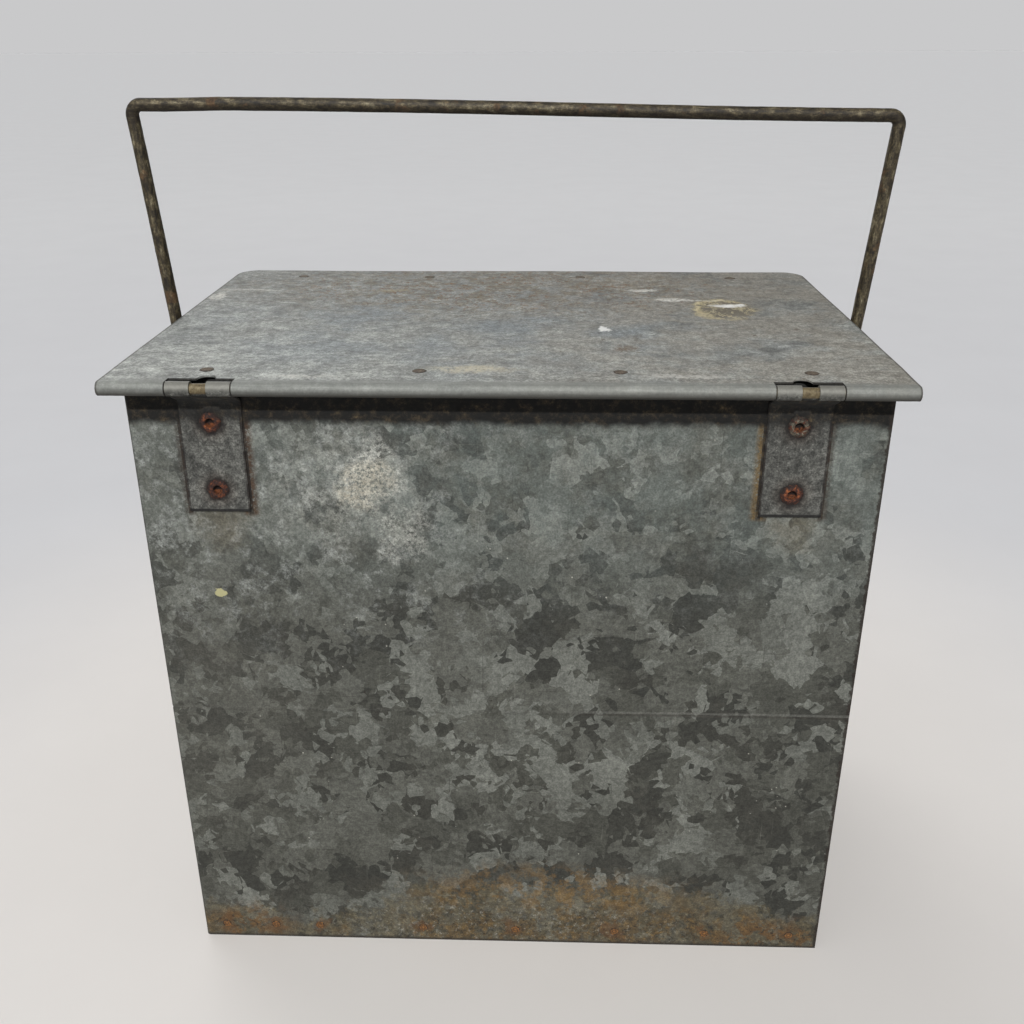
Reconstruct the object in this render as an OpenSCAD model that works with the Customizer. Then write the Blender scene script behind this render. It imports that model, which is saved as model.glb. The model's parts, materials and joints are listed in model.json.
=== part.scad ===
// Insulated cooler chest of galvanised sheet steel, with a lift lid and a wire bail.
// Millimetres. The origin is the centre of the base, +Z is up.
// The opening side faces -Y and the hinges are on the +Y side, so "left" is -X.

/* [Chest] */
// Outside width of the steel box
body_w = 330; // [326:1:334]
// Outside depth of the steel box
body_d = 209; // [207:1:212]
// Height of the shell's rim above the floor
rim_z = 315.4; // [312:0.1:318]
// Thickness of the galvanised sheet
sheet_t = 0.8; // [0.7:0.05:0.8]
// Outside radius of the box's vertical bends
corner_r = 2; // [1.5:0.1:3]
// Width of the inward flange round the rim
rim_flange = 9; // [8:0.5:11]
// Width of the lap behind the rear seam
seam_lap = 13; // [10:1:15]
// Height of the bottom pan's upturned flange
pan_flange = 17; // [12:1:17]

/* [Liner and insulation] */
// Space between shell and liner, filled with insulation
wall_space = 15; // [14:0.5:16]
// Space between the base and the liner's floor
floor_space = 18; // [17:1:22]
// Thickness of the liner's sheet
liner_t = 0.6; // [0.4:0.1:0.6]
// Outside radius of the liner's vertical corners
liner_r = 8; // [4:1:12]

/* [Lid] */
// Width of the lid's skin
lid_w = 340.6; // [338:0.1:340.6]
// How far the lid stands out past the front
front_overhang = 14.75; // [12:0.25:16]
// Radius of the lid's two front corners
lid_corner_r = 14; // [8:1:18]
// Width of the hem folded under the lid's front edge
hem_w = 7; // [5:1:8]
// Depth of the plug under the lid's skin
plug_h = 20.7; // [15:0.1:25]
// Thickness of the lid pan's sheet
lid_pan_t = 0.5; // [0.4:0.1:0.5]

/* [Hinges] */
// Distance from the back wall to the hinge axis
hinge_out = 11.6; // [11:0.1:13]
// Outside diameter of the lid's rolled rear edge and of the barrels
roll_d = 6.3; // [6.3:0.1:6.6]
// Diameter of the hinge wire
wire_d = 4.6; // [4.2:0.1:4.6]
// Distance between the centres of the two hinges
hinge_pitch = 253; // [240:1:260]
// How far both hinges sit off the centre, towards +X
hinge_shift = 1; // [0:0.2:2]
// Width of a hinge plate
plate_w = 27.4; // [26:0.2:30]
// Width of the gap between a plate's two barrels
finger_gap = 7.2; // [6:0.2:8]
// Height of the hinge plates' lower edge
plate_low_z = 254; // [250:1:258]
// Height of the lower rivet in each plate
rivet_low_z = 264.5; // [263:0.5:265]
// Distance between a plate's two rivets
rivet_pitch = 31.3; // [28:0.1:31.3]

/* [Bail] */
// Diameter of the bail's rod
rod_d = 6.35; // [5.5:0.05:6.35]
// Height of the bail's pivot axis
pivot_z = 276; // [272:1:280]
// Half the distance between the arms at the pivot
pivot_half = 171.2; // [171.2:0.1:173]
// Half the distance between the arms at the top
bar_half = 183.4; // [180:0.1:186]
// Height of the bar at its middle
bar_z = 417.7; // [414:0.1:425]
// How much higher the bar's +X end is than its -X end
bar_rise = 6; // [0:1:6]
// Radius of the bends, at the rod's centreline
bend_r = 4.5; // [4:0.1:6]

/* [Hidden] */
$fn = 64;
LEFT = -1;
RIGHT = 1;
THROUGH = 50;                      // longer than any hole is deep
fit_gap = 0.05;                    // between a sheet or shank and the one it lies against
turn_gap = 0.06;                   // radial clearance of a part that turns
slab_gap = 0.3;                    // between an insulation slab and the sheet beside it

half_w = body_w / 2;
half_d = body_d / 2;
inner_w = body_w - 2 * sheet_t;
inner_d = body_d - 2 * sheet_t;

liner_w = inner_w - 2 * wall_space;
liner_d = inner_d - 2 * wall_space;
liner_floor_z = sheet_t + floor_space;
liner_lip = half_w - 1 - liner_w / 2;   // the liner's flange stops 1 mm inside the shell's face
liner_top_z = rim_z + liner_t;

roll_r = roll_d / 2;
wire_r = wire_d / 2;
roll_in_r = roll_r - sheet_t;
hinge_y = half_d + hinge_out;
lid_rest_gap = 0.2;                // between the liner's flange and the lid pan's
lid_under_z = liner_top_z + lid_rest_gap + lid_pan_t;
lid_top_z = lid_under_z + sheet_t;
hinge_z = lid_top_z - roll_r;
lid_front_y = -half_d - front_overhang;
plug_gap = 3.6;                    // between plug and liner, so that the plug swings clear
plug_w = liner_w - 2 * liner_t - 2 * plug_gap;
plug_d = liner_d - 2 * liner_t - 2 * plug_gap - 1;
plug_low_z = lid_under_z - plug_h;
plug_r = 8;
pan_lip_w = body_w - 10;
pan_lip_d = body_d - 1;

notch_edge_y = hinge_y - 4.3;      // straight edge of the lid's notches
notch_side_gap = 0.35;             // between the rolled edge and the outer barrels
relief_r = finger_gap / 2;         // half-round relief in each notch
web_top = 1.2;                     // top of a plate's web between its barrels, over the axis

// Rivet sizes: shank radius, head radius, head height, tail radius, bore radius
hinge_rivet_r = 2.5;
hinge_rivet = [hinge_rivet_r, 4.8, 1.2, 4.2, 1.7];
ear_rivet_r = 2;
ear_rivet = [ear_rivet_r, 3.6, 0.9, 3.4, 1.2];
tail_h = 0.8;
ear_t = 1.5;
ear_w = 24;
ear_h = 56;
ear_rivet_pitch = 34;
stub_end = half_w - 5;
keeper_r = 6;
keeper_t = 2;
keeper_x = half_w - sheet_t - 0.5 - keeper_t;

steel = [0.56, 0.60, 0.59];
bare_steel = [0.48, 0.50, 0.50];
rusty = [0.45, 0.24, 0.12];
bail_brown = [0.36, 0.32, 0.24];
foam = [0.82, 0.76, 0.60];

// Rectangle with rounded corners, centred, in the XY plane
module rounded_rect(w, d, r) {
    square([w - 2 * r, d], center = true);
    square([w, d - 2 * r], center = true);
    for (sx = [-1, 1], sy = [-1, 1])
        translate([sx * (w / 2 - r), sy * (d / 2 - r)]) circle(r);
}

// Block with rounded vertical edges that stands on the XY plane
module rounded_block(w, d, h, r) {
    linear_extrude(h) rounded_rect(w, d, r);
}

// Open tray that stands on the XY plane, with outside sizes w, d and h
module tray(w, d, h, t, r) {
    difference() {
        rounded_block(w, d, h, r);
        translate([0, 0, t]) rounded_block(w - 2 * t, d - 2 * t, h, r - t);
    }
}

// Flat ring between two rounded rectangles
module flat_ring(w, d, r, hole_w, hole_d, hole_r, t) {
    linear_extrude(t) difference() {
        rounded_rect(w, d, r);
        rounded_rect(hole_w, hole_d, hole_r);
    }
}

// Cuboid from its lowest to its highest corner
module span(low, high) {
    translate(low) cube(high - low);
}

// Turns what points along +Z to point along +Y
module facing_back() {
    rotate([-90, 0, 0]) children();
}

// Turns what points along +Z to point outwards at the left or right side
module facing_side(side) {
    rotate([0, side * 90, 0]) children();
}

// Extrudes a (Y, Z) profile along X, centred on the hinge axis at height zero of its own plane
module along_hinge(low_x, high_x) {
    translate([low_x, hinge_y, hinge_z])
        rotate([90, 0, 90]) linear_extrude(high_x - low_x) children();
}

// Middle of one hinge
function hinge_x(side) = side * hinge_pitch / 2 + hinge_shift;

// Straight piece of a bent strip from p to q, rounded at q for the bend that follows
module strip(p, q, t) {
    run = q - p;
    translate(p) rotate(atan2(run.y, run.x)) translate([0, -t / 2]) square([norm(run), t]);
    translate(q) circle(t / 2);
}

// Hollow rivet through a stack "grip" thick, whose outer face is at z = 0
module hollow_rivet(grip, sizes) {
    shank_r = sizes[0];
    head_r = sizes[1];
    head_h = sizes[2];
    tail_r = sizes[3];
    bore_r = sizes[4];
    rotate_extrude() polygon([
        [bore_r, -grip - tail_h],
        [tail_r, -grip - tail_h],
        [tail_r, -grip - fit_gap],
        [shank_r, -grip - fit_gap],
        [shank_r, fit_gap],
        [head_r, fit_gap],
        [head_r, head_h * 0.4],
        [head_r - head_h * 0.6, head_h],
        [bore_r, head_h]
    ]);
}

// Places children at both rivet positions of one hinge plate, on the back wall's outer face
module at_hinge_rivets(side) {
    for (i = [0, 1])
        translate([hinge_x(side), half_d, rivet_low_z + i * rivet_pitch])
            facing_back() children();
}

// Places children at both rivet positions of one bail ear, on the side wall's outer face
module at_ear_rivets(side) {
    for (i = [-1, 1])
        translate([side * half_w, 0, pivot_z + i * ear_rivet_pitch / 2])
            facing_side(side) children();
}

// Hole for a rivet's shank, through the sheets at z = 0
module rivet_hole(shank_r) {
    translate([0, 0, -3]) cylinder(h = 6, r = shank_r + fit_gap);
}

// Hole along the bail's pivot axis through one side
module pivot_hole(side) {
    translate([side * (half_w - THROUGH / 2), 0, pivot_z])
        facing_side(side) cylinder(h = THROUGH, r = rod_d / 2 + turn_gap);
}

// Wrapped sheet with a rim flange; its rear corner at -X is a lapped seam
module outer_shell() {
    lap_y = half_d - sheet_t - fit_gap;
    color(steel) difference() {
        union() {
            difference() {
                rounded_block(body_w, body_d, rim_z, corner_r);
                translate([0, 0, -1])
                    rounded_block(inner_w, inner_d, rim_z + 1 - sheet_t, corner_r - sheet_t);
                translate([0, 0, rim_z - 2])
                    rounded_block(body_w - 2 * rim_flange, body_d - 2 * rim_flange, 4, 1);
            }
            span([-half_w, lap_y - sheet_t, 0],
                 [-half_w + seam_lap, lap_y, rim_z - sheet_t]);
            span([-half_w, half_d - sheet_t, 0], [-half_w + 3, half_d, rim_z]);
        }
        span([-half_w - 1, lap_y, -1],
             [-half_w + seam_lap + 1, half_d - sheet_t, rim_z - sheet_t - 1]);
        for (side = [LEFT, RIGHT]) {
            at_hinge_rivets(side) rivet_hole(hinge_rivet_r);
            at_ear_rivets(side) rivet_hole(ear_rivet_r);
            pivot_hole(side);
        }
    }
}

// Base sheet with an upturned flange inside the shell, notched at the seam
module bottom_pan() {
    color(steel) difference() {
        tray(inner_w - 2 * fit_gap, inner_d - 2 * fit_gap, sheet_t + pan_flange, sheet_t,
             corner_r - sheet_t);
        span([-half_w, half_d - 3 * sheet_t, -1],
             [-half_w + seam_lap + 1, half_d, pan_flange + 2]);
    }
}

// Inner tub that hangs by its flange from the shell's rim
module liner() {
    tub_h = rim_z - liner_floor_z;
    color(bare_steel) {
        translate([0, 0, liner_floor_z]) tray(liner_w, liner_d, tub_h + liner_t, liner_t, liner_r);
        translate([0, 0, rim_z])
            flat_ring(liner_w + 2 * liner_lip, liner_d + 2 * liner_lip, 2,
                      liner_w - 2 * liner_t, liner_d - 2 * liner_t, liner_r - liner_t, liner_t);
    }
}

slab_low_z = pan_flange + 2 * sheet_t + slab_gap;
slab_high_z = rim_z - sheet_t - slab_gap;
slab_out_x = inner_w / 2 - slab_gap;
slab_end_x = slab_out_x - corner_r;     // the front and back slabs stop short of the bends
slab_out_y = inner_d / 2 - slab_gap;
slab_in_x = liner_w / 2 + slab_gap;
slab_in_y = liner_d / 2 + slab_gap;

// Slab between the front wall and the liner
module insulation_front() {
    color(foam) span([-slab_end_x, -slab_out_y, slab_low_z], [slab_end_x, -slab_in_y, slab_high_z]);
}

// Slab between the back wall and the liner, with pockets for the hinge rivets' tails
module insulation_back() {
    pocket = [12, 3, rivet_pitch + 12];
    back_y = slab_out_y - sheet_t - fit_gap;
    color(foam) difference() {
        span([-slab_end_x, slab_in_y, slab_low_z], [slab_end_x, back_y, slab_high_z]);
        for (side = [LEFT, RIGHT])
            translate([hinge_x(side), back_y, rivet_low_z + rivet_pitch / 2])
                cube(pocket, center = true);
    }
}

// Slab between a side wall and the liner, with a pocket for the end of the bail
module side_insulation(side) {
    pocket = [18, ear_w, ear_h];
    color(foam) difference() {
        translate([(side * (slab_in_x + slab_out_x)) / 2, 0, (slab_low_z + slab_high_z) / 2])
            cube([slab_out_x - slab_in_x, 2 * slab_in_y - 2 * slab_gap, slab_high_z - slab_low_z],
                 center = true);
        translate([side * slab_out_x, 0, pivot_z]) cube(pocket, center = true);
    }
}

module insulation_left() { side_insulation(LEFT); }
module insulation_right() { side_insulation(RIGHT); }

// Slab between the base and the liner's floor
module insulation_bottom() {
    low_z = sheet_t + fit_gap;
    color(foam) translate([0, 0, low_z])
        rounded_block(inner_w - 4 * sheet_t, inner_d - 6 * sheet_t,
                      liner_floor_z - low_z - fit_gap, 2);
}

// Strip that lies on the back wall, rises to the axis and is rolled into two barrels
module hinge_plate(side) {
    x = hinge_x(side);
    flat_x = -hinge_out + sheet_t / 2;
    rise_x = -roll_r + sheet_t / 2;
    foot = [flat_x, plate_low_z - hinge_z];
    knee = [flat_x, -roll_r - 5.2];
    neck = [rise_x, -roll_r - 1];
    color(steel) difference() {
        along_hinge(x - plate_w / 2, x + plate_w / 2) difference() {
            union() {
                strip(foot, knee, sheet_t);
                strip(knee, neck, sheet_t);
                strip(neck, [rise_x, 0], sheet_t);
                circle(roll_r);
            }
            circle(wire_r + turn_gap);
            polygon([[0, 0], [-roll_in_r, -1], [-roll_in_r, -roll_d], [-1.6, -roll_d]]);
        }
        along_hinge(x - finger_gap / 2, x + finger_gap / 2) {
            translate([-roll_in_r + 0.25, -roll_r - 0.5]) square([2 * roll_r + 2, 2 * roll_r + 2]);
            translate([-roll_r - 1, web_top]) square([2 * roll_r + 2, roll_r]);
        }
        at_hinge_rivets(side) rivet_hole(hinge_rivet_r);
    }
}

module hinge_plate_left() { hinge_plate(LEFT); }
module hinge_plate_right() { hinge_plate(RIGHT); }

// Two hollow rivets that hold one hinge plate
module hinge_rivets(side) {
    color(rusty) at_hinge_rivets(side) translate([0, 0, sheet_t])
        hollow_rivet(2 * sheet_t, hinge_rivet);
}

module hinge_rivets_left() { hinge_rivets(LEFT); }
module hinge_rivets_right() { hinge_rivets(RIGHT); }

// Plate riveted to a side wall, which carries one end of the bail
module bail_ear(side) {
    color(steel) difference() {
        translate([side * half_w, 0, pivot_z]) facing_side(side) linear_extrude(ear_t) {
            square([ear_h - ear_w, ear_w], center = true);
            for (i = [-1, 1]) translate([i * (ear_h - ear_w) / 2, 0]) circle(ear_w / 2);
        }
        at_ear_rivets(side) rivet_hole(ear_rivet_r);
        pivot_hole(side);
    }
}

module bail_ear_left() { bail_ear(LEFT); }
module bail_ear_right() { bail_ear(RIGHT); }

// Two rivets that hold one bail ear
module ear_rivets(side) {
    color(rusty) at_ear_rivets(side) translate([0, 0, ear_t])
        hollow_rivet(ear_t + sheet_t, ear_rivet);
}

module ear_rivets_left() { ear_rivets(LEFT); }
module ear_rivets_right() { ear_rivets(RIGHT); }

// Lid sheet seen from above, without its rolled edge
module lid_outline() {
    difference() {
        translate([-lid_w / 2, lid_front_y]) square([lid_w, hinge_y - lid_front_y]);
        for (side = [LEFT, RIGHT])
            translate([side * lid_w / 2, lid_front_y]) difference() {
                square(2 * lid_corner_r, center = true);
                translate([-side * lid_corner_r, lid_corner_r]) circle(lid_corner_r);
                translate([-side * lid_corner_r, 0])
                    translate([-lid_corner_r, lid_corner_r])
                        square([2 * lid_corner_r, lid_corner_r]);
            }
    }
}

// Flat sheet with a front hem, whose rear edge is rolled round the wire and notched at the hinges
module lid_skin() {
    notch_half = plate_w / 2 + notch_side_gap;
    color(steel) difference() {
        union() {
            translate([0, 0, lid_under_z]) linear_extrude(sheet_t) lid_outline();
            translate([0, 0, lid_under_z - sheet_t]) linear_extrude(sheet_t) intersection() {
                lid_outline();
                translate([-lid_w / 2, lid_front_y]) square([lid_w, hem_w]);
            }
            along_hinge(-lid_w / 2, lid_w / 2) difference() {
                circle(roll_r);
                circle(roll_in_r);
                polygon([[0, 0], [0, 9], [-9, 9], [-9, 9 * tan(30)]]);
            }
        }
        for (side = [LEFT, RIGHT]) translate([hinge_x(side), 0, 0]) {
            span([-notch_half, notch_edge_y, hinge_z - 10], [notch_half, hinge_y + 10, hinge_z + 10]);
            translate([0, notch_edge_y, hinge_z - 10]) cylinder(h = 20, r = relief_r);
        }
    }
}

// Pan under the skin: its flange lies over the liner's, its well plugs the opening
module lid_pan() {
    color(bare_steel) {
        translate([0, 0, plug_low_z])
            tray(plug_w, plug_d, lid_under_z - plug_low_z, lid_pan_t, plug_r);
        translate([0, 0, lid_under_z - lid_pan_t])
            flat_ring(pan_lip_w, pan_lip_d, 4, plug_w - 2 * lid_pan_t, plug_d - 2 * lid_pan_t,
                      plug_r - lid_pan_t, lid_pan_t);
    }
}

// Slab inside the lid's pan
module lid_insulation() {
    low_z = plug_low_z + lid_pan_t + fit_gap;
    color(foam) translate([0, 0, low_z])
        rounded_block(plug_w - 2 * lid_pan_t - 2 * slab_gap, plug_d - 2 * lid_pan_t - 2 * slab_gap,
                      lid_under_z - fit_gap - low_z, plug_r - lid_pan_t);
}

// One wire through the rolled edge and all four barrels
module hinge_wire() {
    wire_l = lid_w - 2;
    color(bail_brown) translate([-wire_l / 2, hinge_y, hinge_z])
        rotate([0, 90, 0]) cylinder(h = wire_l, r = wire_r);
}

// Centreline of the bail in (X, Z), from the end of its +X stub to the end of its -X stub
bail_line = [
    [stub_end, pivot_z],
    [pivot_half, pivot_z],
    [bar_half, bar_z + bar_rise / 2],
    [-bar_half, bar_z - bar_rise / 2],
    [-pivot_half, pivot_z],
    [-stub_end, pivot_z]
];

function unit(v) = v / norm(v);
function inside_angle(i) =
    acos(unit(bail_line[i - 1] - bail_line[i]) * unit(bail_line[i + 1] - bail_line[i]));
function setback(i) =
    (i == 0 || i == len(bail_line) - 1) ? 0 : bend_r / tan(inside_angle(i) / 2);
function tangent(i, j) = bail_line[i] + setback(i) * unit(bail_line[j] - bail_line[i]);

bend_under = 0.01;                 // the bends are this much thinner than the straight runs
bend_lap_angle = 2;                // and enter them by this angle at both ends

// Rod bent along bail_line, which turns anticlockwise at every corner
module bail() {
    color(bail_brown) {
        for (i = [0 : len(bail_line) - 2]) {
            from = tangent(i, i + 1);
            run = tangent(i + 1, i) - from;
            translate([from.x, 0, from.y])
                rotate([0, atan2(run.x, run.y), 0]) cylinder(h = norm(run), r = rod_d / 2);
        }
        for (i = [1 : len(bail_line) - 2]) {
            from = tangent(i, i - 1);
            heading = unit(bail_line[i] - bail_line[i - 1]);
            middle = from + bend_r * [-heading.y, heading.x];
            translate([middle.x, 0, middle.y]) rotate([90, 0, 0])
                rotate(atan2(from.y - middle.y, from.x - middle.x) - bend_lap_angle)
                    rotate_extrude(angle = 180 - inside_angle(i) + 2 * bend_lap_angle)
                        translate([bend_r, 0]) circle(rod_d / 2 - bend_under);
        }
    }
}

// Ring pressed on the end of the bail, inside the wall
module bail_keeper(side) {
    color(rusty) translate([side * keeper_x, 0, pivot_z]) facing_side(side) difference() {
        cylinder(h = keeper_t, r = keeper_r);
        translate([0, 0, -1]) cylinder(h = keeper_t + 2, r = rod_d / 2 + 0.01);
    }
}

module bail_keeper_left() { bail_keeper(LEFT); }
module bail_keeper_right() { bail_keeper(RIGHT); }

outer_shell();
bottom_pan();
liner();
insulation_front();
insulation_back();
insulation_left();
insulation_right();
insulation_bottom();
hinge_plate_left();
hinge_plate_right();
hinge_rivets_left();
hinge_rivets_right();
bail_ear_left();
bail_ear_right();
ear_rivets_left();
ear_rivets_right();
lid_skin();
lid_pan();
lid_insulation();
hinge_wire();
bail();
bail_keeper_left();
bail_keeper_right();
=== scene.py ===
import json
import math

import bmesh
import bpy
import numpy as np
from mathutils import Matrix, Vector, noise


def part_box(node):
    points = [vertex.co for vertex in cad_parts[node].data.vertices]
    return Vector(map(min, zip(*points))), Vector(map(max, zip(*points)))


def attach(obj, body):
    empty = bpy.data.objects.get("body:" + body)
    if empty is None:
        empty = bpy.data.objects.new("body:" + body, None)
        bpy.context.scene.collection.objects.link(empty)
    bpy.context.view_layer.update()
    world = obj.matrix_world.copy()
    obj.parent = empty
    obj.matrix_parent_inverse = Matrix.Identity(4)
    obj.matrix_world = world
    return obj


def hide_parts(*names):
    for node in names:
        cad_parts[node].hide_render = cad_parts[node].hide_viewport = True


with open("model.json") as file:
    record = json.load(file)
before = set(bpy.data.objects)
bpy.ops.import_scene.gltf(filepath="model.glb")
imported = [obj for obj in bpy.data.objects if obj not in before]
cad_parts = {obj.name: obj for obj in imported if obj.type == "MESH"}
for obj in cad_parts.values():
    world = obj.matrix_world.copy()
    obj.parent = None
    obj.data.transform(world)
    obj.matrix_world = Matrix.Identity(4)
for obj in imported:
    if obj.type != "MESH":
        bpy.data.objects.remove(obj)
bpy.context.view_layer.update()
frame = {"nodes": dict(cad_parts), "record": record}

MM = 0.001
SIDES = {"left": -1, "right": 1}

# ---------------------------------------------------------------- sizes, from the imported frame

shell_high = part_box("outer_shell")[1]
lid_low, lid_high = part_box("lid_skin")
wire_low, wire_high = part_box("hinge_wire")
bail_low, bail_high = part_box("bail")
plate_low, plate_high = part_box("hinge_plate_left")
joints = {j["name"]: j for j in frame["record"]["behaviour"]["joints"]}
mounts = {m["name"]: m for m in frame["record"]["mounts"]}

HALF_W = shell_high.x
HALF_D = shell_high.y
RIM_Z = shell_high.z
HINGE_Y, HINGE_Z = joints["lid_hinge"]["pos_m"][1:]
PIVOT_Z = joints["bail_swing"]["pos_m"][2]
BAR_Z = mounts["bail_grip"]["pos_m"][2]
ROD_R = (bail_high.y - bail_low.y) / 2
WIRE_R = (wire_high.z - wire_low.z) / 2
ROLL_R = lid_high.z - HINGE_Z

SHEET = 0.8 * MM
CORNER_R = 2 * MM
RIM_FLANGE = 9 * MM
RIM_BEND = 1.4 * MM
SEAM_LAP = 13 * MM
SEAM_GAP = 0.05 * MM
LID_CORNER_R = 14 * MM
HEM_W = 7 * MM
NOTCH_EDGE_Y = HINGE_Y - 4.3 * MM
GAP_HALF = 3.6 * MM              # half the space between a hinge's two barrels
ARM_OUT = 6.2 * MM               # from the wall to the bail's arm, at the pivot
STUB_IN = 5 * MM                 # how far the bail's ends reach inside the walls
BAR_RISE = 6 * MM                # how much higher the bar's +X end is
BEND_R = 4.5 * MM
PIVOT_SLACK = 0.06 * MM          # from the rod to the edge of its hole
CUT = 6 * MM                     # length of the cutters that make the holes

plate_x = {s: sum(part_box(f"hinge_plate_{s}")[i].x for i in (0, 1)) / 2 for s in SIDES}
plate_half = (plate_high.x - plate_low.x) / 2
plate_low_z = plate_low.z
NOTCH_HALF = plate_half + 0.35 * MM
relief_x = {s: plate_x[s] - SIDES[s] * 2 * MM for s in SIDES}
RELIEF_HALF = 4.1 * MM
RELIEF_DEPTH = 5.5 * MM
WEB_TOP = HINGE_Z + 1.2 * MM     # top of a strap's web, between its barrels
LEAN = {"left": 0.0, "right": 0.7 * MM}     # how far each strap's lower part leans towards +X


def rivet_heights(node, across):
    """Heights of a node's two rivets, one above the other, whose heads are that wide"""
    low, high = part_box(node)
    return low.z + across / 2, high.z - across / 2


hinge_rivet_low, hinge_rivet_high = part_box("hinge_rivets_left")
ear_rivet_low, ear_rivet_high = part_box("ear_rivets_left")
rivet_zs = {s: rivet_heights(f"hinge_rivets_{s}", hinge_rivet_high.x - hinge_rivet_low.x)
            for s in SIDES}
rivet_x = {s: plate_x[s] + LEAN[s] for s in SIDES}
ear_rivet_zs = rivet_heights("ear_rivets_left", ear_rivet_high.y - ear_rivet_low.y)
HINGE_HOLE_R = 2.48 * MM
EAR_HOLE_R = 1.87 * MM


# ---------------------------------------------------------------- mesh helpers

def wobble(x, y, z, size, seed=0.0):
    """Smooth noise from -1 to 1, with features of about that size"""
    return noise.noise(Vector((x / size + seed, y / size + 3.1 * seed, z / size - seed)))


def fade(value, low, high):
    """0 below low, 1 above high, smooth between"""
    t = min(1.0, max(0.0, (value - low) / (high - low)))
    return t * t * (3 - 2 * t)


def steps(low, high, pitch, extra=()):
    """Sorted positions from low to high, at most pitch apart, that also include the extra ones"""
    stops = sorted({low, high, *(e for e in extra if low < e < high)})
    made = [low]
    for a, b in zip(stops, stops[1:]):
        count = max(1, math.ceil((b - a) / pitch - 1e-6))
        made += [a + (b - a) * k / count for k in range(1, count + 1)]
    return made


def arc(centre, radius, start, end, count):
    """Points on an arc, angles in degrees"""
    angles = np.radians(np.linspace(start, end, count))
    return [(centre[0] + radius * math.cos(a), centre[1] + radius * math.sin(a)) for a in angles]


def both_sides(path, thickness):
    """The two offset copies of a 2D path, half a thickness to its left and to its right"""
    p = np.array(path, float)
    run = np.gradient(p, axis=0)
    run /= np.linalg.norm(run, axis=1)[:, None]
    left = np.stack([-run[:, 1], run[:, 0]], axis=1) * thickness / 2
    return p + left, p - left


def facing(centre, axis):
    """Placement that turns +Z to the axis and moves the origin to the centre"""
    turn = Vector((0, 0, 1)).rotation_difference(Vector(axis)).to_matrix().to_4x4()
    return Matrix.Translation(centre) @ turn


def mesh_object(name, bm):
    """Makes the mesh an object in the scene"""
    mesh = bpy.data.meshes.new(name)
    bm.to_mesh(mesh)
    bm.free()
    made = bpy.data.objects.new(name, mesh)
    bpy.context.scene.collection.objects.link(made)
    return made


def new_piece(name, bm, body, stands_for=(), sharp=40):
    """Piece that rides on a body and stands for CAD nodes; sharp is the angle that shows as an edge"""
    bmesh.ops.recalc_face_normals(bm, faces=bm.faces)
    piece = mesh_object(name, bm)
    piece.data.polygons.foreach_set("use_smooth", [True] * len(piece.data.polygons))
    piece.data.set_sharp_from_angle(angle=math.radians(sharp))
    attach(piece, body)
    if stands_for:
        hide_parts(*stands_for)
    return piece


def all_cells(grid):
    """True for each cell of a grid of points"""
    return np.ones((grid.shape[0] - 1, grid.shape[1] - 1), bool)


def thick_sheet(outer, inner, keep):
    """Closed mesh between two grids of points; keep says which cells are there"""
    cols = outer.shape[1]
    padded = np.pad(keep, 1)
    bm = bmesh.new()
    verts = [bm.verts.new(p) for p in np.concatenate([outer.reshape(-1, 3), inner.reshape(-1, 3)])]
    under = outer.shape[0] * cols
    for i, j in np.argwhere(keep):
        a, b = i * cols + j, i * cols + j + 1
        d, c = a + cols, b + cols
        bm.faces.new([verts[k] for k in (a, b, c, d)])
        bm.faces.new([verts[k + under] for k in (d, c, b, a)])
        for di, dj, p, q in ((-1, 0, a, b), (0, 1, b, c), (1, 0, c, d), (0, -1, d, a)):
            if not padded[i + 1 + di, j + 1 + dj]:
                bm.faces.new([verts[k] for k in (q, p, p + under, q + under)])
    loose = [v for v in bm.verts if not v.link_faces]
    bmesh.ops.delete(bm, geom=loose, context="VERTS")
    return bm


def lathe(bm, profile, place, sides=40, warp=None):
    """Turned solid added to bm: profile is (radius, height) from axis to axis, warp moves points"""
    rings = []
    for r, h in profile:
        if r == 0:
            rings.append([bm.verts.new(place @ Vector((0, 0, h)))])
            continue
        ring = []
        for s in range(sides):
            a = 2 * math.pi * s / sides
            rr, hh = warp(r, h, a) if warp else (r, h)
            ring.append(bm.verts.new(place @ Vector((rr * math.cos(a), rr * math.sin(a), hh))))
        rings.append(ring)
    for lower, upper in zip(rings, rings[1:]):
        for s in range(sides):
            t = (s + 1) % sides
            quad = [lower[s % len(lower)], lower[t % len(lower)],
                    upper[t % len(upper)], upper[s % len(upper)]]
            bm.faces.new(list(dict.fromkeys(quad)))
    return rings


def tube(path, radius, sides, rough):
    """Rod along a 3D path, with flat ends; rough gives how far its surface stands out at a point"""
    bm = bmesh.new()
    points = [Vector(p) for p in path]
    side = Vector((0, 1, 0))
    rings = []
    for k, p in enumerate(points):
        ahead = points[min(k + 1, len(points) - 1)] - points[max(k - 1, 0)]
        ahead.normalize()
        side = (side - ahead * side.dot(ahead)).normalized()
        other = ahead.cross(side)
        ring = []
        for s in range(sides):
            a = 2 * math.pi * s / sides
            out = side * math.cos(a) + other * math.sin(a)
            ring.append(bm.verts.new(p + out * (radius + rough(p + out * radius))))
        rings.append(ring)
    for lower, upper in zip(rings, rings[1:]):
        for s in range(sides):
            t = (s + 1) % sides
            bm.faces.new([lower[s], lower[t], upper[t], upper[s]])
    bm.faces.new(rings[0])
    bm.faces.new(rings[-1])
    return bm


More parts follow.
